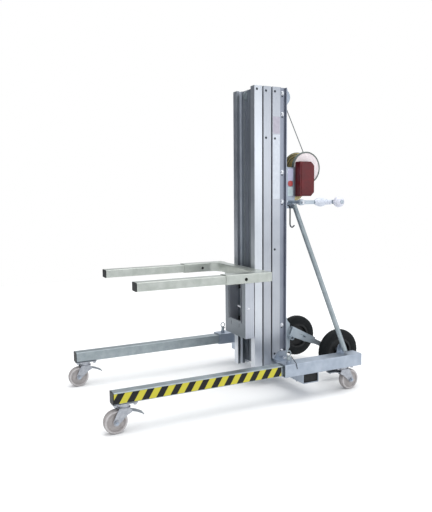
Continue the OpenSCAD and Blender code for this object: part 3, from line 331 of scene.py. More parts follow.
mint_label = moulded("Pale green vinyl label", "#ccdcdf", "#bfd0d4", (0.3, 0.4))
lilac_label = moulded("Lavender vinyl label", "#c9cae2", "#babbd6", (0.3, 0.4))
print("finishes:", black_plastic.name, tyre_rubber.name, grip_plastic.name)

# %% [markdown]
# The gear cover is pressed steel in a dark red enamel. The sheet's slight waves show through as a
# highlight that wanders. A second layer of paint could be modelled, but the shader's own coat gives
# the same gloss, and a weak one is enough here: the paint is old and half matt.

# %% Red enamel
wave_size = 30 * MM


def enamel(name, light, dark):
    """Half-matt enamel over slightly wavy sheet."""
    material, tree, shader, place_of = finish_tree(name)
    waves = add(tree, "ShaderNodeTexNoise", {
        "Vector": place_of, "Scale": 1 / wave_size, "Detail": 3}).outputs["Fac"]
    colour = add(tree, "ShaderNodeValToRGB", {"Fac": waves}, [(0.3, dark), (0.7, light)])
    sheen = add(tree, "ShaderNodeMapRange", {"Value": waves, "To Min": 0.3, "To Max": 0.42})
    relief = add(tree, "ShaderNodeBump", {"Height": waves, "Distance": 0.3 * MM, "Strength": 0.4})
    feed(tree, shader, {"Base Color": colour.outputs["Color"], "Roughness": sheen.outputs["Result"],
                        "Specular IOR Level": 0.3, "Coat Weight": 0.08, "Coat Roughness": 0.12,
                        "Normal": relief.outputs["Normal"]})
    return material


red_enamel = enamel("Dark red enamel", "#66161c", "#541116")
signal_red = enamel("Red enamel spot", "#c95a58", "#b84c4c")
print("finishes:", red_enamel.name, signal_red.name)

# %% [markdown]
# The hazard tape carries yellow and black bars that lean back as they rise. The bars could be strips
# of mesh, but a pattern needs none: Y less a share of Z is the same all along a leaning line, and its
# fraction of the pitch says which bar a point is in. The pitch, the lean and where the count starts
# were matched to the photograph.

# %% Hazard tape
bar_pitch = 63.5 * MM
bar_lean = 0.63
bar_start = 0.464
scuff_size = 12 * MM


def striped(name, light, dark):
    """Tape in bars of two colours, each half a pitch wide."""
    material, tree, shader, place_of = finish_tree(name)
    low, high = place("hazard_tape")
    origin = (0, low.y - bar_start * bar_pitch, (low.z + high.z) / 2)
    moved = add(tree, "ShaderNodeVectorMath", {0: place_of, 1: origin}, operation="SUBTRACT")
    axes = add(tree, "ShaderNodeSeparateXYZ", {"Vector": moved.outputs[0]}).outputs
    slanted = add(tree, "ShaderNodeMath", {0: axes["Z"], 1: -bar_lean, 2: axes["Y"]},
                  operation="MULTIPLY_ADD")
    bars = add(tree, "ShaderNodeMath", {0: slanted.outputs[0], 1: bar_pitch}, operation="DIVIDE")
    part = add(tree, "ShaderNodeMath", {0: bars.outputs[0]}, operation="FRACT")
    colour = add(tree, "ShaderNodeValToRGB", {"Fac": part.outputs[0]},
                 [(0.0, light), (0.49, light), (0.51, dark), (1.0, dark)])
    scuffs = add(tree, "ShaderNodeTexNoise", {
        "Vector": place_of, "Scale": 1 / scuff_size, "Detail": 5}).outputs["Fac"]
    sheen = add(tree, "ShaderNodeMapRange", {"Value": scuffs, "To Min": 0.45, "To Max": 0.65})
    feed(tree, shader, {"Base Color": colour.outputs["Color"], "Roughness": sheen.outputs["Result"],
                        "Specular IOR Level": 0.25})
    return material


hazard = striped("Yellow and black hazard tape", "#c0b83c", "#17181b")
print("tape bars every", round(bar_pitch / MM, 1), "mm")

# %% [markdown]
# The CAD nodes already have the right shapes, so they keep their meshes and only change material.
# Their names say what they are made of, so a list of names' beginnings hands each its finish.

# %% Give the nodes their finishes
finishes = [
    (("mast_middle",), aluminium),
    (("carriage_frame",), carriage_aluminium),
    (("mast_inner",), inner_aluminium),
    (("mast_outer",), outer_aluminium),
    (("cross_tube", "sleeve_", "winch_console", "pulley_bracket"), base_zinc),
    (("axle_arms",), arm_zinc),
    (("leg_", "lock_screw_", "transport_axle", "brace_tubes"), tube_zinc),
    (("crank",), crank_zinc),
    (("fork_",), fork_zinc),
    (("caster_plate", "caster_fork"), caster_zinc),
    (("brake_pedal",), pedal_zinc),
    (("winch_drum", "idler_gear"), yellow_zinc),
    (("head_pulley", "middle_pulley", "inner_pulley"), tube_zinc),
    (("lift_rope", "rope_"), rope_steel),
    (("shoes_", "wheel_hub_", "cross_tube_caps", "leg_cap_", "fork_cap_"), black_plastic),
    (("tyre_",), tyre_rubber),
    (("caster_wheel",), caster_rubber),
    (("gear_cover",), red_enamel),
    (("crank_grip",), grip_plastic),
    (("hazard_tape",), hazard),
]
for starts, material in finishes:
    for name, obj in frame["nodes"].items():
        if name.startswith(starts):
            obj.material_slots[0].material = material
print("nodes finished:", sum(bool(o.material_slots) for o in frame["nodes"].values()))

# %% [markdown]
# Trim is made of plain meshes that ride on the CAD bodies. Each could be cleaned and shaded by hand,
# but one helper does it the same way for all: it merges doubles, points the faces outwards, keeps
# corners sharp above a chosen angle and hands the piece to the body that carries it.

# %% Piece helper
def piece(name, shape, material, body, sharp=35):
    """Makes a finished piece from a bmesh, on a body."""
    bmesh.ops.remove_doubles(shape, verts=shape.verts, dist=0.005 * MM)
    bmesh.ops.recalc_face_normals(shape, faces=shape.faces)
    mesh = bpy.data.meshes.new(name)
    shape.to_mesh(mesh)
    shape.free()
    mesh.materials.append(material)
    mesh.shade_smooth()
    mesh.set_sharp_from_angle(angle=math.radians(sharp))
    obj = bpy.data.objects.new(name, mesh)
    bpy.context.scene.collection.objects.link(obj)
    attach(obj, body)
    return obj


print("the mast's front face is at y =", round(mast_front / MM), "mm")

# %% [markdown]
# Screws, welds, chain links and wire strands repeat along the hoist. They could be copied one by one,
# but Geometry Nodes do it from a few points: a tree takes points or a path, sets small shapes on it
# and ends in real faces with a material. The result is kept as a plain mesh and the modifier goes,
# because a moving body needs a mesh that stays as it is.

# %% Geometry tree helpers
def geometry_tree(name, **inputs):
    """A geometry tree with named inputs; returns it with its inputs' sockets."""
    tree = bpy.data.node_groups.new(name, "GeometryNodeTree")
    tree.interface.new_socket("Geometry", in_out="OUTPUT", socket_type="NodeSocketGeometry")
    tree.interface.new_socket("Geometry", in_out="INPUT", socket_type="NodeSocketGeometry")
    for label, kind in inputs.items():
        tree.interface.new_socket(label, in_out="INPUT", socket_type="NodeSocket" + kind)
    return tree, add(tree, "NodeGroupInput").outputs


def close_tree(tree, geometry, material):
    """Ends a tree in real faces of one material."""
    real = add(tree, "GeometryNodeRealizeInstances", {"Geometry": geometry})
    finished = add(tree, "GeometryNodeSetMaterial", {"Geometry": real.outputs[0], "Material": material})
    add(tree, "NodeGroupOutput", {"Geometry": finished.outputs[0]})


def grow(name, mesh, tree, body, slot, sharp=35, **values):
    """Runs a geometry tree on a mesh and keeps the result as a plain piece on a body."""
    obj = bpy.data.objects.new(name, mesh)
    bpy.context.scene.collection.objects.link(obj)
    modifier = obj.modifiers.new("grow", "NODES")
    modifier.node_group = tree
    for socket in tree.interface.items_tree:
        if socket.in_out == "INPUT" and socket.name in values:
            modifier[socket.identifier] = values[socket.name]
    graph = bpy.context.evaluated_depsgraph_get()
    plain = bpy.data.meshes.new_from_object(obj.evaluated_get(graph), depsgraph=graph)
    obj.modifiers.clear()
    obj.data = plain
    plain.shade_smooth()
    plain.set_sharp_from_angle(angle=math.radians(sharp))
    if body:
        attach(obj, body)
    return obj


def points_mesh(places, facings):
    """Loose points, each with the direction that it faces."""
    mesh = bpy.data.meshes.new("points")
    mesh.from_pydata([tuple(p) for p in places], [], [])
    facing = mesh.attributes.new("facing", "FLOAT_VECTOR", "POINT")
    facing.data.foreach_set("vector", [v for f in facings for v in f])
    return mesh


def path_mesh(paths):
    """Polylines as loose edges."""
    mesh = bpy.data.meshes.new("paths")
    points, edges = [], []
    for path in paths:
        first = len(points)
        points += [tuple(p) for p in path]
        edges += [(first + i, first + i + 1) for i in range(len(path) - 1)]
    mesh.from_pydata(points, edges, [])
    return mesh


print("helpers: geometry_tree, close_tree, grow, points_mesh, path_mesh")

# %% [markdown]
# A hex bolt is a washer, a six-sided head and a chamfered top. A button screw is a low dome with a
# socket in it. Each is stacked once from layers in a tree, one unit in radius, and then set on every
# hole, scaled to its size and turned to face out of it. Threads never show, so none are made.

# %% Bolt and screw trees
def stacked(tree, layers):
    """Joins layers, each a kind of mesh, its sizes and its height above the hole."""
    join = add(tree, "GeometryNodeJoinGeometry")
    for kind, sizes, height in layers:
        layer = add(tree, kind, sizes).outputs[0]
        raised = add(tree, "GeometryNodeTransform", {"Geometry": layer, "Translation": (0, 0, height)})
        tree.links.new(raised.outputs[0], join.inputs[0])
    return join.outputs[0]


def set_on_points(tree, group, shape):
    """Sets a shape on the incoming points, scaled to Size, its Z along each point's facing."""
    facing = add(tree, "GeometryNodeInputNamedAttribute", {"Name": "facing"}, data_type="FLOAT_VECTOR")
    turned_to = add(tree, "FunctionNodeAlignRotationToVector", {"Vector": facing.outputs["Attribute"]},
                    axis="Z")
    placed = add(tree, "GeometryNodeInstanceOnPoints", {
        "Points": group["Geometry"], "Instance": shape, "Rotation": turned_to.outputs[0],
        "Scale": group["Size"]})
    close_tree(tree, placed.outputs[0], group["Material"])


hex_bolt, group = geometry_tree("Hex bolt", Size="Float", Material="Material")
set_on_points(hex_bolt, group, stacked(hex_bolt, [
    ("GeometryNodeMeshCylinder", {"Vertices": 24, "Radius": 1.0, "Depth": 0.16}, 0.08),
    ("GeometryNodeMeshCylinder", {"Vertices": 6, "Radius": 0.82, "Depth": 0.5}, 0.41),
    ("GeometryNodeMeshCone", {"Vertices": 6, "Radius Bottom": 0.82, "Radius Top": 0.64, "Depth": 0.1}, 0.66),
]))
button_screw, group = geometry_tree("Button screw", Size="Float", Material="Material")
set_on_points(button_screw, group, stacked(button_screw, [
    ("GeometryNodeMeshCone", {"Vertices": 24, "Radius Bottom": 1.0, "Radius Top": 0.86, "Depth": 0.22}, 0),
    ("GeometryNodeMeshCone", {"Vertices": 24, "Radius Bottom": 0.86, "Radius Top": 0.5, "Depth": 0.14}, 0.22),
    ("GeometryNodeMeshCylinder", {"Vertices": 6, "Radius": 0.4, "Depth": 0.05}, 0.37),
]))


def fastened(name, tree, spots, ways, node, size, finish, slot="steel_tube"):
    """Bolts or screws of so many mm on spots; ways is one direction for all, or a list of them."""
    if isinstance(ways, Vector):
        ways = [ways] * len(spots)
    return grow(name, points_mesh(spots, ways), tree, carrier(node), slot, Size=size * MM, Material=finish)


print("trees:", hex_bolt.name, button_screw.name)

# %% [markdown]
# The mast's sections are screwed together from both sides. Each screw's place follows from its own
# section: a set distance behind the section's front face, and so far below its top or above its foot.

# %% Screws in the mast's sides
screw_depth = 14 * MM
screw_drops = {"mast_inner": (17,), "mast_middle": (22, 247), "mast_outer": (22, 249)}
screw_rises = {"mast_outer": (24, 560)}
for node, drops in screw_drops.items():
    low, high = place(node)
    heights = [high.z - drop * MM for drop in drops]
    heights += [low.z + rise * MM for rise in screw_rises.get(node, ())]
    spots = [Vector((side, low.y + screw_depth, z)) for side in (low.x, high.x) for z in heights]
    fastened("side_screws_" + node, button_screw, spots, [outward(p.x) for p in spots], node, 6, dark_steel)
low, high = place("carriage_frame")
spots = [Vector((side, low.y + 18 * MM, low.z + 150 * MM)) for side in (low.x, high.x)]
fastened("carriage_screws", button_screw, spots, [outward(p.x) for p in spots], "carriage_frame", 7.5,
         bright_steel)
print("screwed nodes:", len(screw_drops) + 1)

# %% [markdown]
# Hex bolts hold what is bolted on: the rails' clamps, the foot plate, the winch's back plate, the
# head pulley's bracket and the crank's hub. Each group is a list of places and a direction.

# %% Bolts
rail_heights = (166, 302, 934, 1081, 1366, 1467)
rail_x = mast_high.x - 12 * MM
rail_y = mast_high.y - 20.5 * MM
rail_spots = [Vector((side * rail_x, rail_y, z * MM)) for side in (-1, 1) for z in rail_heights]
rail_ways = [outward(p.x) for p in rail_spots]
fastened("rail_bolts", hex_bolt, rail_spots, rail_ways, "mast_outer", 10, bright_steel)
# These small dark screws under the rail bolts are partly screw heads and partly painted shadow below each
# bolt.
below_bolts = [p - Vector((0, 0, 14 * MM)) for p in rail_spots]
fastened("rail_screws", button_screw, below_bolts, rail_ways, "mast_outer", 4.5, dark_steel)

rightward, backward, upward = Vector((1, 0, 0)), Vector((0, 1, 0)), Vector((0, 0, 1))
foot_spots = [at(x, 160, 135) for x in (-132.5, 132.5)]
tube_underside = place("cross_tube")[0].z
under_spots = [Vector((p.x, p.y, tube_underside)) for p in foot_spots]
fastened("foot_bolts", hex_bolt, foot_spots, upward, "cross_tube", 11, bright_steel)
fastened("foot_nuts", hex_bolt, under_spots, -upward, "cross_tube", 10, bright_steel)

nut_face = place("winch_console")[0].y + 5 * MM
for name, node, across, heights, size in (("back_plate_nuts", "winch_console", 93, (934, 1081), 9),
                                          ("bracket_nuts", "pulley_bracket", 88, (1440, 1474), 8)):
    spots = [Vector((side * across * MM, nut_face, z * MM)) for side in (-1, 1) for z in heights]
    fastened(name, hex_bolt, spots, backward, node, size, bright_steel)

crank_end_x = place("crank")[1].x
grip = middle("crank_grip")
crank_radius = 200 * MM
hub = Vector((crank_end_x - 56 * MM, grip.y - crank_radius, grip.z))
fastened("crank_hub_bolt", hex_bolt, [hub], rightward, "crank", 9, bright_steel)
print("rail bolts:", len(rail_spots), "crank hub at z =", round(hub.z / MM))

# %% [markdown]
# Bolts sit on a circle round the discs of the transport wheels, and a turned dome nut closes each
# end of the axle. A turned shape could be carved from a cylinder, but it is quicker and truer as its
# half outline, spun once about the axis as on a lathe.

# %% Turned pieces
def turned(outline, centre, axis=rightward, steps=40, shape=None):
    """A closed outline of (distance along the axis, radius) pairs in mm, spun about the axis at centre."""
    if shape is None:
        shape = bmesh.new()
    across = upward if abs(axis.x) > 0.5 else rightward
    ring = [shape.verts.new(centre + axis * (along * MM) + across * (radius * MM))
            for along, radius in outline]
    edges = [shape.edges.new((ring[i], ring[(i + 1) % len(ring)])) for i in range(len(ring))]
    bmesh.ops.spin(shape, geom=ring + edges, cent=centre, axis=axis, angle=math.tau, steps=steps,
                   use_merge=True)
    return shape


hub_bolts = 5
bolt_circle = 34 * MM
disc_recess = 6 * MM
for node in ("wheel_hub_left", "wheel_hub_right"):
    low, high = place(node)
    centre = middle(node)
    way = outward(centre.x)
    centre.x = high.x if high.x > 0 else low.x
    circle = [centre - way * disc_recess + Vector((0, math.cos(a), math.sin(a))) * bolt_circle
              for a in (math.tau * k / hub_bolts for k in range(hub_bolts))]
    fastened(node + "_bolts", hex_bolt, circle, way, node, 7, dark_steel, "black_plastic")
axle_low, axle_high = place("transport_axle")
dome = [(-2, 0), (-2, 12), (3, 12), (6, 10), (8, 6), (9, 0)]
for side, x in (("left", axle_low.x), ("right", axle_high.x)):
    end = Vector((x, (axle_low.y + axle_high.y) / 2, (axle_low.z + axle_high.z) / 2))
    piece("axle_dome_" + side, turned(dome, end, outward(x)), bright_steel, carrier("transport_axle"))
print("axle ends at x =", round(axle_low.x / MM), round(axle_high.x / MM))

# %% [markdown]
# Each caster wheel is a grey tread with a paler rim on both faces and a bolt through its middle. The
# rims are thin turned rings that ride on the wheel, so they roll with it.

# %% Caster rims
caster_ring = [(15.2, 40), (16.6, 40.6), (16.9, 43), (16.4, 46), (14.8, 47.4)]
corners = ("front_left", "front_right", "rear_left", "rear_right")
for corner in corners:
    wheel, fork = "caster_wheel_" + corner, "caster_fork_" + corner
    centre = middle(wheel)
    rings = bmesh.new()
    for way in (rightward, -rightward):
        turned(caster_ring, centre, way, shape=rings)
    piece("caster_rim_" + corner, rings, caster_rim, carrier(wheel))
    ends = [Vector((edge.x, centre.y, centre.z)) for edge in place(fork)]
    fastened("caster_bolt_" + corner, hex_bolt, ends, [outward(p.x - centre.x) for p in ends], fork, 7,
             base_zinc, "caster_steel")
print("caster wheels:", len(corners))

# %% [markdown]
# The drum's near face is a pale dished disc inside a grey-green rim, and a thin hoop of the same paint
# edges the far flange. Two thin black rings on the flange's inner face are painted shade, where the
# flange dips between its spun ribs. All are turned, and ride on the drum.
# Round parts this large show their facets, so they get more steps than the small ones.

# %% Drum disc
drum_centre = middle("winch_drum")
drum_centre.x = 0
disc = [(40.1, 20.4), (41.5, 20.4), (41.5, 30), (44, 36), (44, 68), (41.5, 74), (41.5, 78.2), (40.1, 78.2)]
drum_rim = [(40.1, 78.2), (42.6, 78.2), (43.2, 79), (43.2, 83.5), (42.6, 84.6), (29.6, 84.6), (29.6, 83.9),
            (40.1, 83.9)]
hoop = [(-47.4, 84), (-47.4, 86.4), (-43.6, 86.4), (-43.6, 84)]
# The two black rings are painted shade between the flange's spun ribs.
drum_pieces = [(f"drum_groove_{number}", [(-44.1, r), (-43.5, r + 0.5), (-43.5, r + 3.5), (-44.1, r + 4)],
                dark_steel) for number, r in enumerate((61, 74))]
drum_pieces += [("drum_disc", disc, pale_paint), ("drum_rim", drum_rim, rim_paint),
                ("drum_hoop", hoop, rim_paint)]
for name, outline, finish in drum_pieces:
    piece(name, turned(outline, drum_centre, steps=72), finish, carrier("winch_drum"))
print("drum pieces:", len(drum_pieces))

# %% [markdown]
# Half way along the crank arm sits a translucent plastic sleeve, fuller in its middle, with a narrower
# neck towards the grip. Its outline is half a sine wave, which needs no list of points, and both are
# spun about the arm.

# %% Crank sleeve
sleeve_axis = Vector((crank_end_x - 66 * MM, hub.y, hub.z))
sleeve_start, sleeve_length, sleeve_steps = 75.5, 77, 12
bulge = [(sleeve_start, 10)]
bulge += [(sleeve_start + sleeve_length * k / sleeve_steps, 10.4 + 13 * math.sin(math.pi * k / sleeve_steps))
          for k in range(sleeve_steps + 1)]
bulge += [(sleeve_start + sleeve_length, 10)]
neck = [(148.5, 10), (148.5, 13.9), (176, 13.9), (177.5, 12.5), (177.5, 10)]
for name, outline in (("crank_sleeve", bulge), ("crank_neck", neck)):
    piece(name, turned(outline, sleeve_axis, backward), sleeve_plastic, carrier("crank"))
print("crank sleeve length:", sleeve_length, "mm")

# %% [markdown]
# Labels and small plates are thin sheets with rounded corners. A decal could be a picture on the mast,
# but a sheet catches the light at its edge as real vinyl does. They are left bare: no word or sign is
# drawn on them. The winch's folded edge and the cover's raised panel are thicker sheets of this kind.

# %% Plates and labels
def plate(x, y0, y1, z0, z1, thick, corner, steps=5):
    """A sheet in the Y-Z plane from x outwards, in mm, with rounded corners."""
    shape = bmesh.new()
    points = []
    for cy, cz, first in ((y1 - corner, z1 - corner, 0), (y0 + corner, z1 - corner, 90),
                          (y0 + corner, z0 + corner, 180), (y1 - corner, z0 + corner, 270)):
        for k in range(steps + 1):
            a = math.radians(first + 90 * k / steps)
            points.append(at(x, cy + corner * math.cos(a), cz + corner * math.sin(a)))
    face = shape.faces.new([shape.verts.new(p) for p in points])
    raised_part = bmesh.ops.extrude_face_region(shape, geom=[face])
    moved = [v for v in raised_part["geom"] if isinstance(v, bmesh.types.BMVert)]
    bmesh.ops.translate(shape, verts=moved, vec=(thick * MM, 0, 0))
    return shape


mast_x = mast_high.x / MM
console_x = 55
cover_x = 100
plates = [
    ("mast_label_upper", "mast_outer", "aluminium", pink_label, (mast_x, 105, 144, 1268, 1350, 0.3, 3)),
    ("mast_label_lower", "mast_outer", "aluminium", pale_label, (mast_x, 105, 144, 948, 1263, 0.3, 3)),
    ("console_panel", "winch_console", "console", lilac_label, (console_x, 227, 259, 1039, 1101, 0.5, 3)),
    ("console_label", "winch_console", "console", mint_label, (console_x, 227, 259, 962, 1009, 0.3, 3)),
    ("console_edge", "winch_console", "console", crank_zinc, (console_x, 261.5, 264.8, 966, 1104, 3, 1.4)),
    ("cover_panel", "gear_cover", "cover_red", red_enamel, (cover_x, 280, 352, 968, 1128, 2, 13)),
]
for name, node, slot, finish, sizes in plates:
    piece(name, plate(*sizes), finish, carrier(node))
spot = [(0, 0), (0, 15), (1.2, 15), (2.2, 12.5), (2.6, 0)]
piece("console_spot", turned(spot, at(console_x, 242, 1025)), signal_red, carrier("winch_console"))
print("labels and plates:", len(plates))

# %% [markdown]
# The fork sockets' pin holes get painted shade: a black ring in their outer side, and a round black disc
# that closes the inner side, so that the holes read dark. Both are turned, facing out of the socket's wall.

# %% Painted shade in the pin holes
fork_low, fork_high = place("fork_frame")
socket_width = 62 * MM
pin_y, pin_z = -138, 582
# The black ring and disc are painted shade of the holes, not parts of the socket.
pin_shade_ring = [(-0.5, 5.6), (0.6, 5.6), (0.9, 6.1), (0.9, 7.3), (0.5, 7.8), (-0.5, 7.8)]
pin_shade_disc = [(-0.5, 0), (-0.5, 7), (0.5, 7), (1.0, 5.5), (1.2, 0)]
for side, x in (("left", fork_low.x), ("right", fork_high.x)):
    way = outward(x)
    outer_face = at(x / MM, pin_y, pin_z)
    for name, outline, centre, facing in (("pin_ring_", pin_shade_ring, outer_face, way),
                                          ("pin_plug_", pin_shade_disc, outer_face - way * socket_width, -way)):
        piece(name + side, turned(outline, centre, facing), black_plastic, carrier("fork_frame"))
print("pin holes at z =", pin_z, "mm")

# %% [markdown]
# The thin hook behind the mast and the stud in the carriage's window are round wire. A curve object
# with a bevel would do, but a tree that sweeps a circle along a path gives a plain mesh at once.

# %% Bent rods
bent_rod, group = geometry_tree("Bent rod", Radius="Float", Material="Material")
curve = add(bent_rod, "GeometryNodeMeshToCurve", {"Mesh": group["Geometry"]})
profile = add(bent_rod, "GeometryNodeCurvePrimitiveCircle", {"Resolution": 12, "Radius": group["Radius"]})
swept = add(bent_rod, "GeometryNodeCurveToMesh", {
    "Curve": curve.outputs[0], "Profile Curve": profile.outputs[0], "Fill Caps": True})
close_tree(bent_rod, swept.outputs[0], group["Material"])


def bend(points, radius=10.0, steps=6):
    """Rounds the corners of a path of points: each corner becomes a short arc, in mm."""
    path = [points[0]]
    for before, corner, after in zip(points, points[1:], points[2:]):
        back, on = (before - corner), (after - corner)
        cut = min(radius * MM, back.length / 2, on.length / 2)
        start, end = corner + back.normalized() * cut, corner + on.normalized() * cut
        for k in range(steps + 1):
            t = k / steps
            path.append(start * (1 - t) ** 2 + corner * 2 * t * (1 - t) + end * t ** 2)
    return path + [points[-1]]


hook = [at(96, 189, 914), at(100, 206, 914), at(100, 212, 900), at(100, 212, 812), at(100, 224, 800),
        at(100, 238, 812)]
grow("hanger_hook", path_mesh([bend(hook)]), bent_rod, carrier("winch_console"), "steel_tube",
     Radius=3.5 * MM, Material=dark_steel)
stud = [at(60.5, -40, 403), at(20, -46, 409)]
grow("carriage_stud", path_mesh([stud]), bent_rod, carrier("carriage_frame"), "steel_tube",
     Radius=4.5 * MM, Material=bright_steel)
print("hook length:", round(sum((a - b).length for a, b in zip(hook, hook[1:])) / MM), "mm")

# %% [markdown]
# A short chain hangs from each leg's lock screw, so that the screw isn't lost. A link is an oval of
# wire, and every second one is turned a quarter round the chain's own direction. The link is one unit
# long in the tree, and is scaled as it is set on the path.

# %% Lock chains
chain, group = geometry_tree("Chain", Link="Float", Material="Material")
run = add(chain, "GeometryNodeMeshToCurve", {"Mesh": group["Geometry"]})
step = add(chain, "ShaderNodeMath", {0: group["Link"], 1: 0.72}, operation="MULTIPLY")
spaced = add(chain, "GeometryNodeResampleCurve", {"Curve": run.outputs[0], "Length": step.outputs[0]},
             mode="LENGTH")
tangent = add(chain, "GeometryNodeInputTangent")
lying = add(chain, "FunctionNodeAlignRotationToVector", {"Vector": tangent.outputs[0]}, axis="X")
index = add(chain, "GeometryNodeInputIndex")
quarters = add(chain, "ShaderNodeMath", {0: index.outputs[0], 1: math.pi / 2}, operation="MULTIPLY")
angles = add(chain, "ShaderNodeCombineXYZ", {"X": quarters.outputs[0]})
about = add(chain, "FunctionNodeEulerToRotation", {"Euler": angles.outputs[0]})
ways = add(chain, "FunctionNodeRotateRotation", {"Rotation": lying.outputs[0], "Rotate By": about.outputs[0]},
           rotation_space="LOCAL")
ring = add(chain, "GeometryNodeCurvePrimitiveCircle", {"Resolution": 12, "Radius": 0.5})
oval = add(chain, "GeometryNodeTransform", {"Geometry": ring.outputs[0], "Scale": (1.0, 0.62, 1.0)})
wire = add(chain, "GeometryNodeCurvePrimitiveCircle", {"Resolution": 6, "Radius": 0.12})
link = add(chain, "GeometryNodeCurveToMesh", {"Curve": oval.outputs[0], "Profile Curve": wire.outputs[0]})
links = add(chain, "GeometryNodeInstanceOnPoints", {
    "Points": spaced.outputs[0], "Instance": link.outputs[0], "Rotation": ways.outputs[0],
    "Scale": group["Link"]})
close_tree(chain, links.outputs[0], group["Material"])
for side in ("left", "right"):
    low, high = place("lock_screw_" + side)
    way = outward(low.x)
    sleeve_x = max(abs(v.x) for v in place("sleeve_" + side)) * way.x
    start = Vector(((low.x + high.x) / 2, high.y, high.z - 30 * MM))
    over = Vector((sleeve_x, high.y + 4 * MM, place("leg_" + side)[1].z + 8 * MM)) + way * 2 * MM
    end = over + Vector((0, 6 * MM, -24 * MM))
    path = [start.lerp(over, k / 8) for k in range(8)] + [over.lerp(end, k / 6) for k in range(7)]
    grow("lock_chain_" + side, path_mesh([path]), chain, carrier("sleeve_" + side), "steel_tube",
         Link=6 * MM, Material=dark_steel)
print("chain hangs to z =", round(end.z / MM), "mm")

# %% [markdown]
# A weld is a row of overlapping drops of metal. A plain fillet would be a smooth strip, so the tree
# sets a drop at every radius along the seam instead, which is how the bead of a hand weld looks.

# %% Weld beads
weld, group = geometry_tree("Weld bead", Radius="Float", Material="Material")
seam = add(weld, "GeometryNodeMeshToCurve", {"Mesh": group["Geometry"]})
drops = add(weld, "GeometryNodeResampleCurve", {"Curve": seam.outputs[0], "Length": group["Radius"]},
            mode="LENGTH")
drop = add(weld, "GeometryNodeMeshUVSphere", {"Segments": 8, "Rings": 5, "Radius": group["Radius"]})
beads = add(weld, "GeometryNodeInstanceOnPoints", {"Points": drops.outputs[0], "Instance": drop.outputs[0]})
close_tree(weld, beads.outputs[0], group["Material"])


def seam_round(x, y0, y1, z0, z1):
    """A seam round a tube that meets a wall at x."""
    return [at(x, y0, z0), at(x, y1, z0), at(x, y1, z1), at(x, y0, z1), at(x, y0, z0)]


def welded(name, seams, node, slot, finish):
    """Weld beads along seams."""
    return grow(name, path_mesh(seams), weld, carrier(node), slot, sharp=80, Radius=2.2 * MM, Material=finish)


base_seams, fork_seams, console_seams = [], [], []
for side in (-1, 1):
    base_seams += [seam_round(side * 308.5, 115, 205, 73.5, 122.5),
                   [at(side * 109, 118, 147.5), at(side * 109, 185, 147.5)]]
    fork_seams += [[at(side * 209, -52, z), at(side * 209, -5, z)] for z in (607, 563)]
    fork_seams += [[at(side * 60, -54, 562.5), at(side * 108, -54, 562.5)]]
    console_seams += [[at(side * 56, 191, 902), at(side * 56, 191, 1104)]]
welded("base_welds", base_seams, "cross_tube", "steel_base", base_zinc)
welded("fork_welds", fork_seams, "fork_frame", "steel_tube", fork_zinc)
welded("console_welds", console_seams, "winch_console", "console", base_zinc)
print("seams:", len(base_seams) + len(fork_seams) + len(console_seams))

# %% [markdown]
# The ropes are laid from six strands. A rope pattern on a tube would show at the edges as a straight
# line, so the tree sweeps six small circles together along the path and lets them turn once in every
# lay length, about six and a half rope diameters, as in real wire rope.

# %% Stranded rope
rope_tree, group = geometry_tree("Six-strand rope", Radius="Float", Lay="Float", Material="Material")
line = add(rope_tree, "GeometryNodeMeshToCurve", {"Mesh": group["Geometry"]})
step = add(rope_tree, "ShaderNodeMath", {0: group["Lay"], 1: 0.12}, operation="MULTIPLY")
even = add(rope_tree, "GeometryNodeResampleCurve", {"Curve": line.outputs[0], "Length": step.outputs[0]},
           mode="LENGTH")
gone = add(rope_tree, "GeometryNodeSplineParameter").outputs["Length"]
per_metre = add(rope_tree, "ShaderNodeMath", {0: math.tau, 1: group["Lay"]}, operation="DIVIDE").outputs[0]
turn = add(rope_tree, "ShaderNodeMath", {0: gone, 1: per_metre}, operation="MULTIPLY").outputs[0]
twisted = add(rope_tree, "GeometryNodeSetCurveTilt", {"Curve": even.outputs[0], "Tilt": turn})
core = add(rope_tree, "GeometryNodeCurvePrimitiveCircle", {"Resolution": 6, "Radius": 0.62})
strand = add(rope_tree, "GeometryNodeCurvePrimitiveCircle", {"Resolution": 6, "Radius": 0.38})
bundle = add(rope_tree, "GeometryNodeInstanceOnPoints", {
    "Points": core.outputs[0], "Instance": strand.outputs[0]})
strands = add(rope_tree, "GeometryNodeRealizeInstances", {"Geometry": bundle.outputs[0]})
profile = add(rope_tree, "GeometryNodeTransform", {"Geometry": strands.outputs[0], "Scale": group["Radius"]})
laid = add(rope_tree, "GeometryNodeCurveToMesh", {
    "Curve": twisted.outputs[0], "Profile Curve": profile.outputs[0], "Fill Caps": True})
close_tree(rope_tree, laid.outputs[0], group["Material"])


def rope(name, path, radius, body, *nodes):
    """A stranded rope along a path of points; it stands for the CAD nodes named."""
    obj = grow(name, path_mesh([path]), rope_tree, body, "rope", sharp=80, Radius=radius * MM,
               Lay=13 * radius * MM, Material=rope_steel)
    if nodes:
        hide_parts(*nodes)
    return obj


print("tree:", rope_tree.name)

# %% [markdown]
# The lifting rope winds round the drum, rises to the head pulley and turns over it. Its points come
# from the drum's and the pulley's own centres: where the rope leaves both wheels is the line that
# touches the two circles.

# %% Lifting rope
rope_r, transfer_r = 2.5, 2.0
wind_low, wind_high = place("rope_winding")
wind_r = (wind_high.y - wind_low.y) / 2 - rope_r * MM
head = middle("head_pulley")
head_r = head.y - place("lift_rope")[0].y - rope_r * MM
between = Vector((0, drum_centre.y - head.y, drum_centre.z - head.z))
leave = math.atan2(between.z, between.y) + math.acos((head_r - wind_r) / between.length)


def on_circle(centre, radius, angle, x=0.0):
    """A point on a circle in the Y-Z plane."""
    return Vector((x, centre.y + radius * math.cos(angle), centre.z + radius * math.sin(angle)))


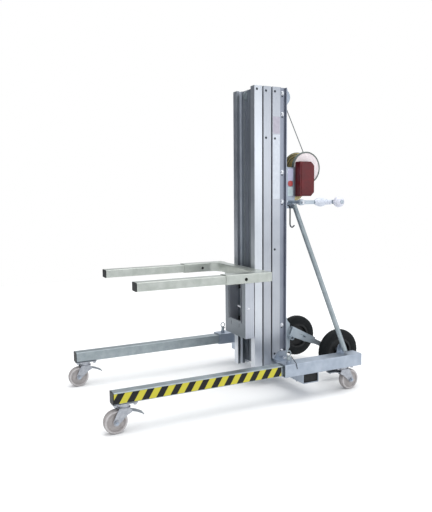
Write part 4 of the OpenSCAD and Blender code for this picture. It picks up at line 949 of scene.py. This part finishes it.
turns = 4
turn_steps = 40 * turns
arc_steps = 24
first_x, last_x = wind_low.x + rope_r * MM, wind_high.x - rope_r * MM
winding = [on_circle(drum_centre, wind_r, leave - math.tau * turns * (1 - k / turn_steps),
                     first_x + (last_x - first_x) * k / turn_steps) for k in range(turn_steps + 1)]
rope("drum_rope", winding, rope_r, carrier("rope_winding"), "rope_winding")
rise = [on_circle(drum_centre, wind_r, leave)]
rise += [on_circle(head, head_r, leave + (math.pi - leave) * k / arc_steps) for k in range(arc_steps + 1)]
rope("rising_rope", rise, rope_r, carrier("lift_rope"), "lift_rope")
print("rope leaves the drum at", round(math.degrees(leave), 1), "degrees")

# %% [markdown]
# Three runs of rope change length as the mast opens. A rope that rode on one section would pull out
# of the other, so each is blended: its upper end follows the section that carries its pulley, its
# lower end the section that it lifts.

# %% Moving ropes
run_steps, bend_steps, stub_steps = 40, 16, 8
stub_length = 51 * MM
low, high = place("rope_run")
run_line = [Vector((0, middle("rope_run").y, high.z - (high.z - low.z) * k / run_steps))
            for k in range(run_steps + 1)]
front_run = rope("front_run_rope", run_line, rope_r, None, "rope_run")
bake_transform(front_run, "base", "middle", start=run_line[0], end=run_line[-1])


def transfer(name, node, pulley, above, carried, below):
    """The rope over a section's pulley: a long front run and a short stub behind."""
    low, high = place(node)
    centre = middle(pulley)
    x = (low.x + high.x) / 2
    radius = (high.y - low.y) / 2 - transfer_r * MM
    anchor = centre.z - stub_length
    front = [Vector((x, centre.y - radius, low.z + (centre.z - low.z) * k / run_steps))
             for k in range(run_steps)]
    front += [on_circle(centre, radius, math.pi * (1 - k / bend_steps), x) for k in range(bend_steps + 1)]
    long_run = rope(name + "_front", front, transfer_r, None, node)
    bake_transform(long_run, carried, below, start=(x, centre.y - radius, centre.z), end=front[0])
    back = [Vector((x, centre.y + radius, anchor + stub_length * k / stub_steps))
            for k in range(stub_steps + 1)]
    stub = rope(name + "_back", back, transfer_r, None)
    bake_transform(stub, above, carried, start=back[0], end=back[-1])
    return anchor


stub_foot = transfer("middle_rope", "rope_middle", "middle_pulley", "base", "middle", "inner")
transfer("inner_rope", "rope_inner", "inner_pulley", "middle", "inner", "carriage")
print("rope stubs start at z =", round(stub_foot / MM))

# %% [markdown]
# The transport tyres have a shallow block tread: three staggered rows of low blocks round the rim,
# the outer rows set lower, as the tyre is crowned. Less than a millimetre of each stands out, so a
# bump map would do from afar, but blocks also give the outline its fine teeth.

# %% Tyre tread
tread, group = geometry_tree("Tread block", Size="Float", Material="Material")
block = add(tread, "GeometryNodeMeshCube", {"Size": (1, 0.5, 0.3)})
set_on_points(tread, group, block.outputs[0])
blocks = 44
tread_rows = ((-10, 0.0, 2.3), (0, 0.5, 0.95), (10, 0.0, 2.3))
for side in ("left", "right"):
    low, high = place("tyre_" + side)
    centre = (low + high) / 2
    radius = (high.z - low.z) / 2
    spots, ways = [], []
    for row_x, shift, sunk in tread_rows:
        for k in range(blocks):
            a = math.tau * (k + shift) / blocks
            way = Vector((0, math.cos(a), math.sin(a)))
            spots.append(centre + way * (radius - sunk * MM) + Vector((row_x * MM, 0, 0)))
            ways.append(way)
    fastened("tread_" + side, tread, spots, ways, "tyre_" + side, 8, tyre_rubber, "rubber")
print("tread blocks:", blocks * len(tread_rows), "on each tyre")

# %% [markdown]
# The stage is a pale matt floor, wide enough to pass under the hoist from every side. It is one face,
# as a backdrop that curves up would show in none of the views.

# %% Floor
reach = 4.0
cloud_on_floor = 0.8
floor_mesh = bpy.data.meshes.new("floor")
floor_mesh.from_pydata([(-reach, -reach, 0), (reach, -reach, 0), (reach, reach, 0), (-reach, reach, 0)],
                       [], [(0, 1, 2, 3)])
floor = bpy.data.objects.new("floor", floor_mesh)
bpy.context.scene.collection.objects.link(floor)
floor_paint, tree, shader, place_of = finish_tree("Matt white studio floor")
clouds = add(tree, "ShaderNodeTexNoise", {"Vector": place_of, "Scale": 1 / cloud_on_floor, "Detail": 4})
white = add(tree, "ShaderNodeValToRGB", {"Fac": clouds.outputs["Fac"]}, [(0.0, "#f8f8f8"), (1.0, "#fcfcfc")])
feed(tree, shader, {"Base Color": white.outputs["Color"], "Roughness": 0.9})
floor_mesh.materials.append(floor_paint)
print("floor:", reach * 2, "m wide")

# %% [markdown]
# Polished metal shows what stands around it, so the sky matters as much as the lamps. A picture of a
# studio could light the scene, but a ramp from the horizon up does it without a file. It is white
# overhead, grey at the horizon and slate dark towards the front left, which is what the mast's front
# faces mirror. The camera itself sees plain white.

# %% Sky
world = bpy.data.worlds.new("studio")
bpy.context.scene.world = world
world.use_nodes = True
tree = world.node_tree
tree.nodes.clear()
direction = add(tree, "ShaderNodeTexCoord").outputs["Generated"]
up = add(tree, "ShaderNodeSeparateXYZ", {"Vector": direction}).outputs["Z"]
height = add(tree, "ShaderNodeMapRange", {"Value": up, "From Min": -0.2, "From Max": 1.0}).outputs["Result"]
glow = add(tree, "ShaderNodeValToRGB", {"Fac": height},
           [(0.0, "#8f959d"), (0.3, "#c3c8ce"), (0.6, "#f4f6f8"), (1.0, "#ffffff")])
front_left = Vector((-0.86, -0.5, 0.0))
towards = add(tree, "ShaderNodeVectorMath", {0: direction, 1: front_left}, operation="DOT_PRODUCT")
shade = add(tree, "ShaderNodeMapRange", {
    "Value": towards.outputs["Value"], "From Min": 0.45, "From Max": 0.9, "To Max": 0.96})
mixed = add(tree, "ShaderNodeMix", {
    "Factor": shade.outputs["Result"], 6: glow.outputs["Color"], 7: linear("#2b323c")}, data_type="RGBA")
lit = add(tree, "ShaderNodeBackground", {"Color": mixed.outputs[2], "Strength": 1.3})
seen = add(tree, "ShaderNodeBackground", {"Color": linear("#ffffff"), "Strength": 1.0})
to_camera = add(tree, "ShaderNodeLightPath").outputs["Is Camera Ray"]
both = add(tree, "ShaderNodeMixShader", {0: to_camera, 1: lit.outputs[0], 2: seen.outputs[0]})
add(tree, "ShaderNodeOutputWorld", {"Surface": both.outputs[0]})
print("sky nodes:", len(tree.nodes))

# %% [markdown]
# Two area lamps stand in for soft boxes. One hangs overhead. The other is wide and low at the right
# back, where the mast's right side mirrors it, and gives the bright band that the photograph shows
# two thirds of the way up the mast.

# %% Lamps
def soft_box(name, spot, aim, size, watts):
    """A rectangular area lamp at a spot, turned to a point."""
    lamp = bpy.data.lights.new(name, "AREA")
    lamp.shape = "RECTANGLE"
    lamp.size, lamp.size_y = size
    lamp.energy = watts
    obj = bpy.data.objects.new(name, lamp)
    bpy.context.scene.collection.objects.link(obj)
    obj.location = spot
    obj.rotation_euler = (Vector(aim) - Vector(spot)).to_track_quat("-Z", "Y").to_euler()
    return obj


mast_middle = middle("mast_outer")
soft_box("overhead", (0.4, 0.2, 4.2), mast_middle, (3.0, 3.0), 70)
soft_box("right back", (3.5, 2.2, 1.41), (mast_high.x, mast_middle.y, 1.15), (1.6, 0.9), 11)
print("lamps:", len(bpy.data.lights))

# %% [markdown]
# The camera was worked out from the photograph: its place, its turn about the hoist, a slight
# downward tilt and roll, and a focal length in the photograph's own pixels. The sensor's 36 mm span
# the long side of the picture, which turns that focal length into a lens length.

# %% Camera
scene = bpy.context.scene
photo_height = 512
focal_px = 572.93
camera_place = (2.554, -1.27175, 0.967)
yaw, pitch, roll = math.radians(63.94), math.radians(6.02), math.radians(-0.53)
forward = Vector((-math.sin(yaw) * math.cos(pitch), math.cos(yaw) * math.cos(pitch), -math.sin(pitch)))
level = Vector((math.cos(yaw), math.sin(yaw), 0))
upright = level.cross(forward)
right = math.cos(roll) * level + math.sin(roll) * upright
top = math.cos(roll) * upright - math.sin(roll) * level
lens = bpy.data.cameras.new("camera")
lens.sensor_width = 36
lens.lens = lens.sensor_width * focal_px / photo_height
camera = bpy.data.objects.new("camera", lens)
scene.collection.objects.link(camera)
turn_to = Matrix((right, top, -forward)).transposed().to_4x4()
camera.matrix_world = Matrix.Translation(camera_place) @ turn_to
scene.camera = camera
scene.view_settings.view_transform = "Standard"
print("lens:", round(lens.lens, 2), "mm")
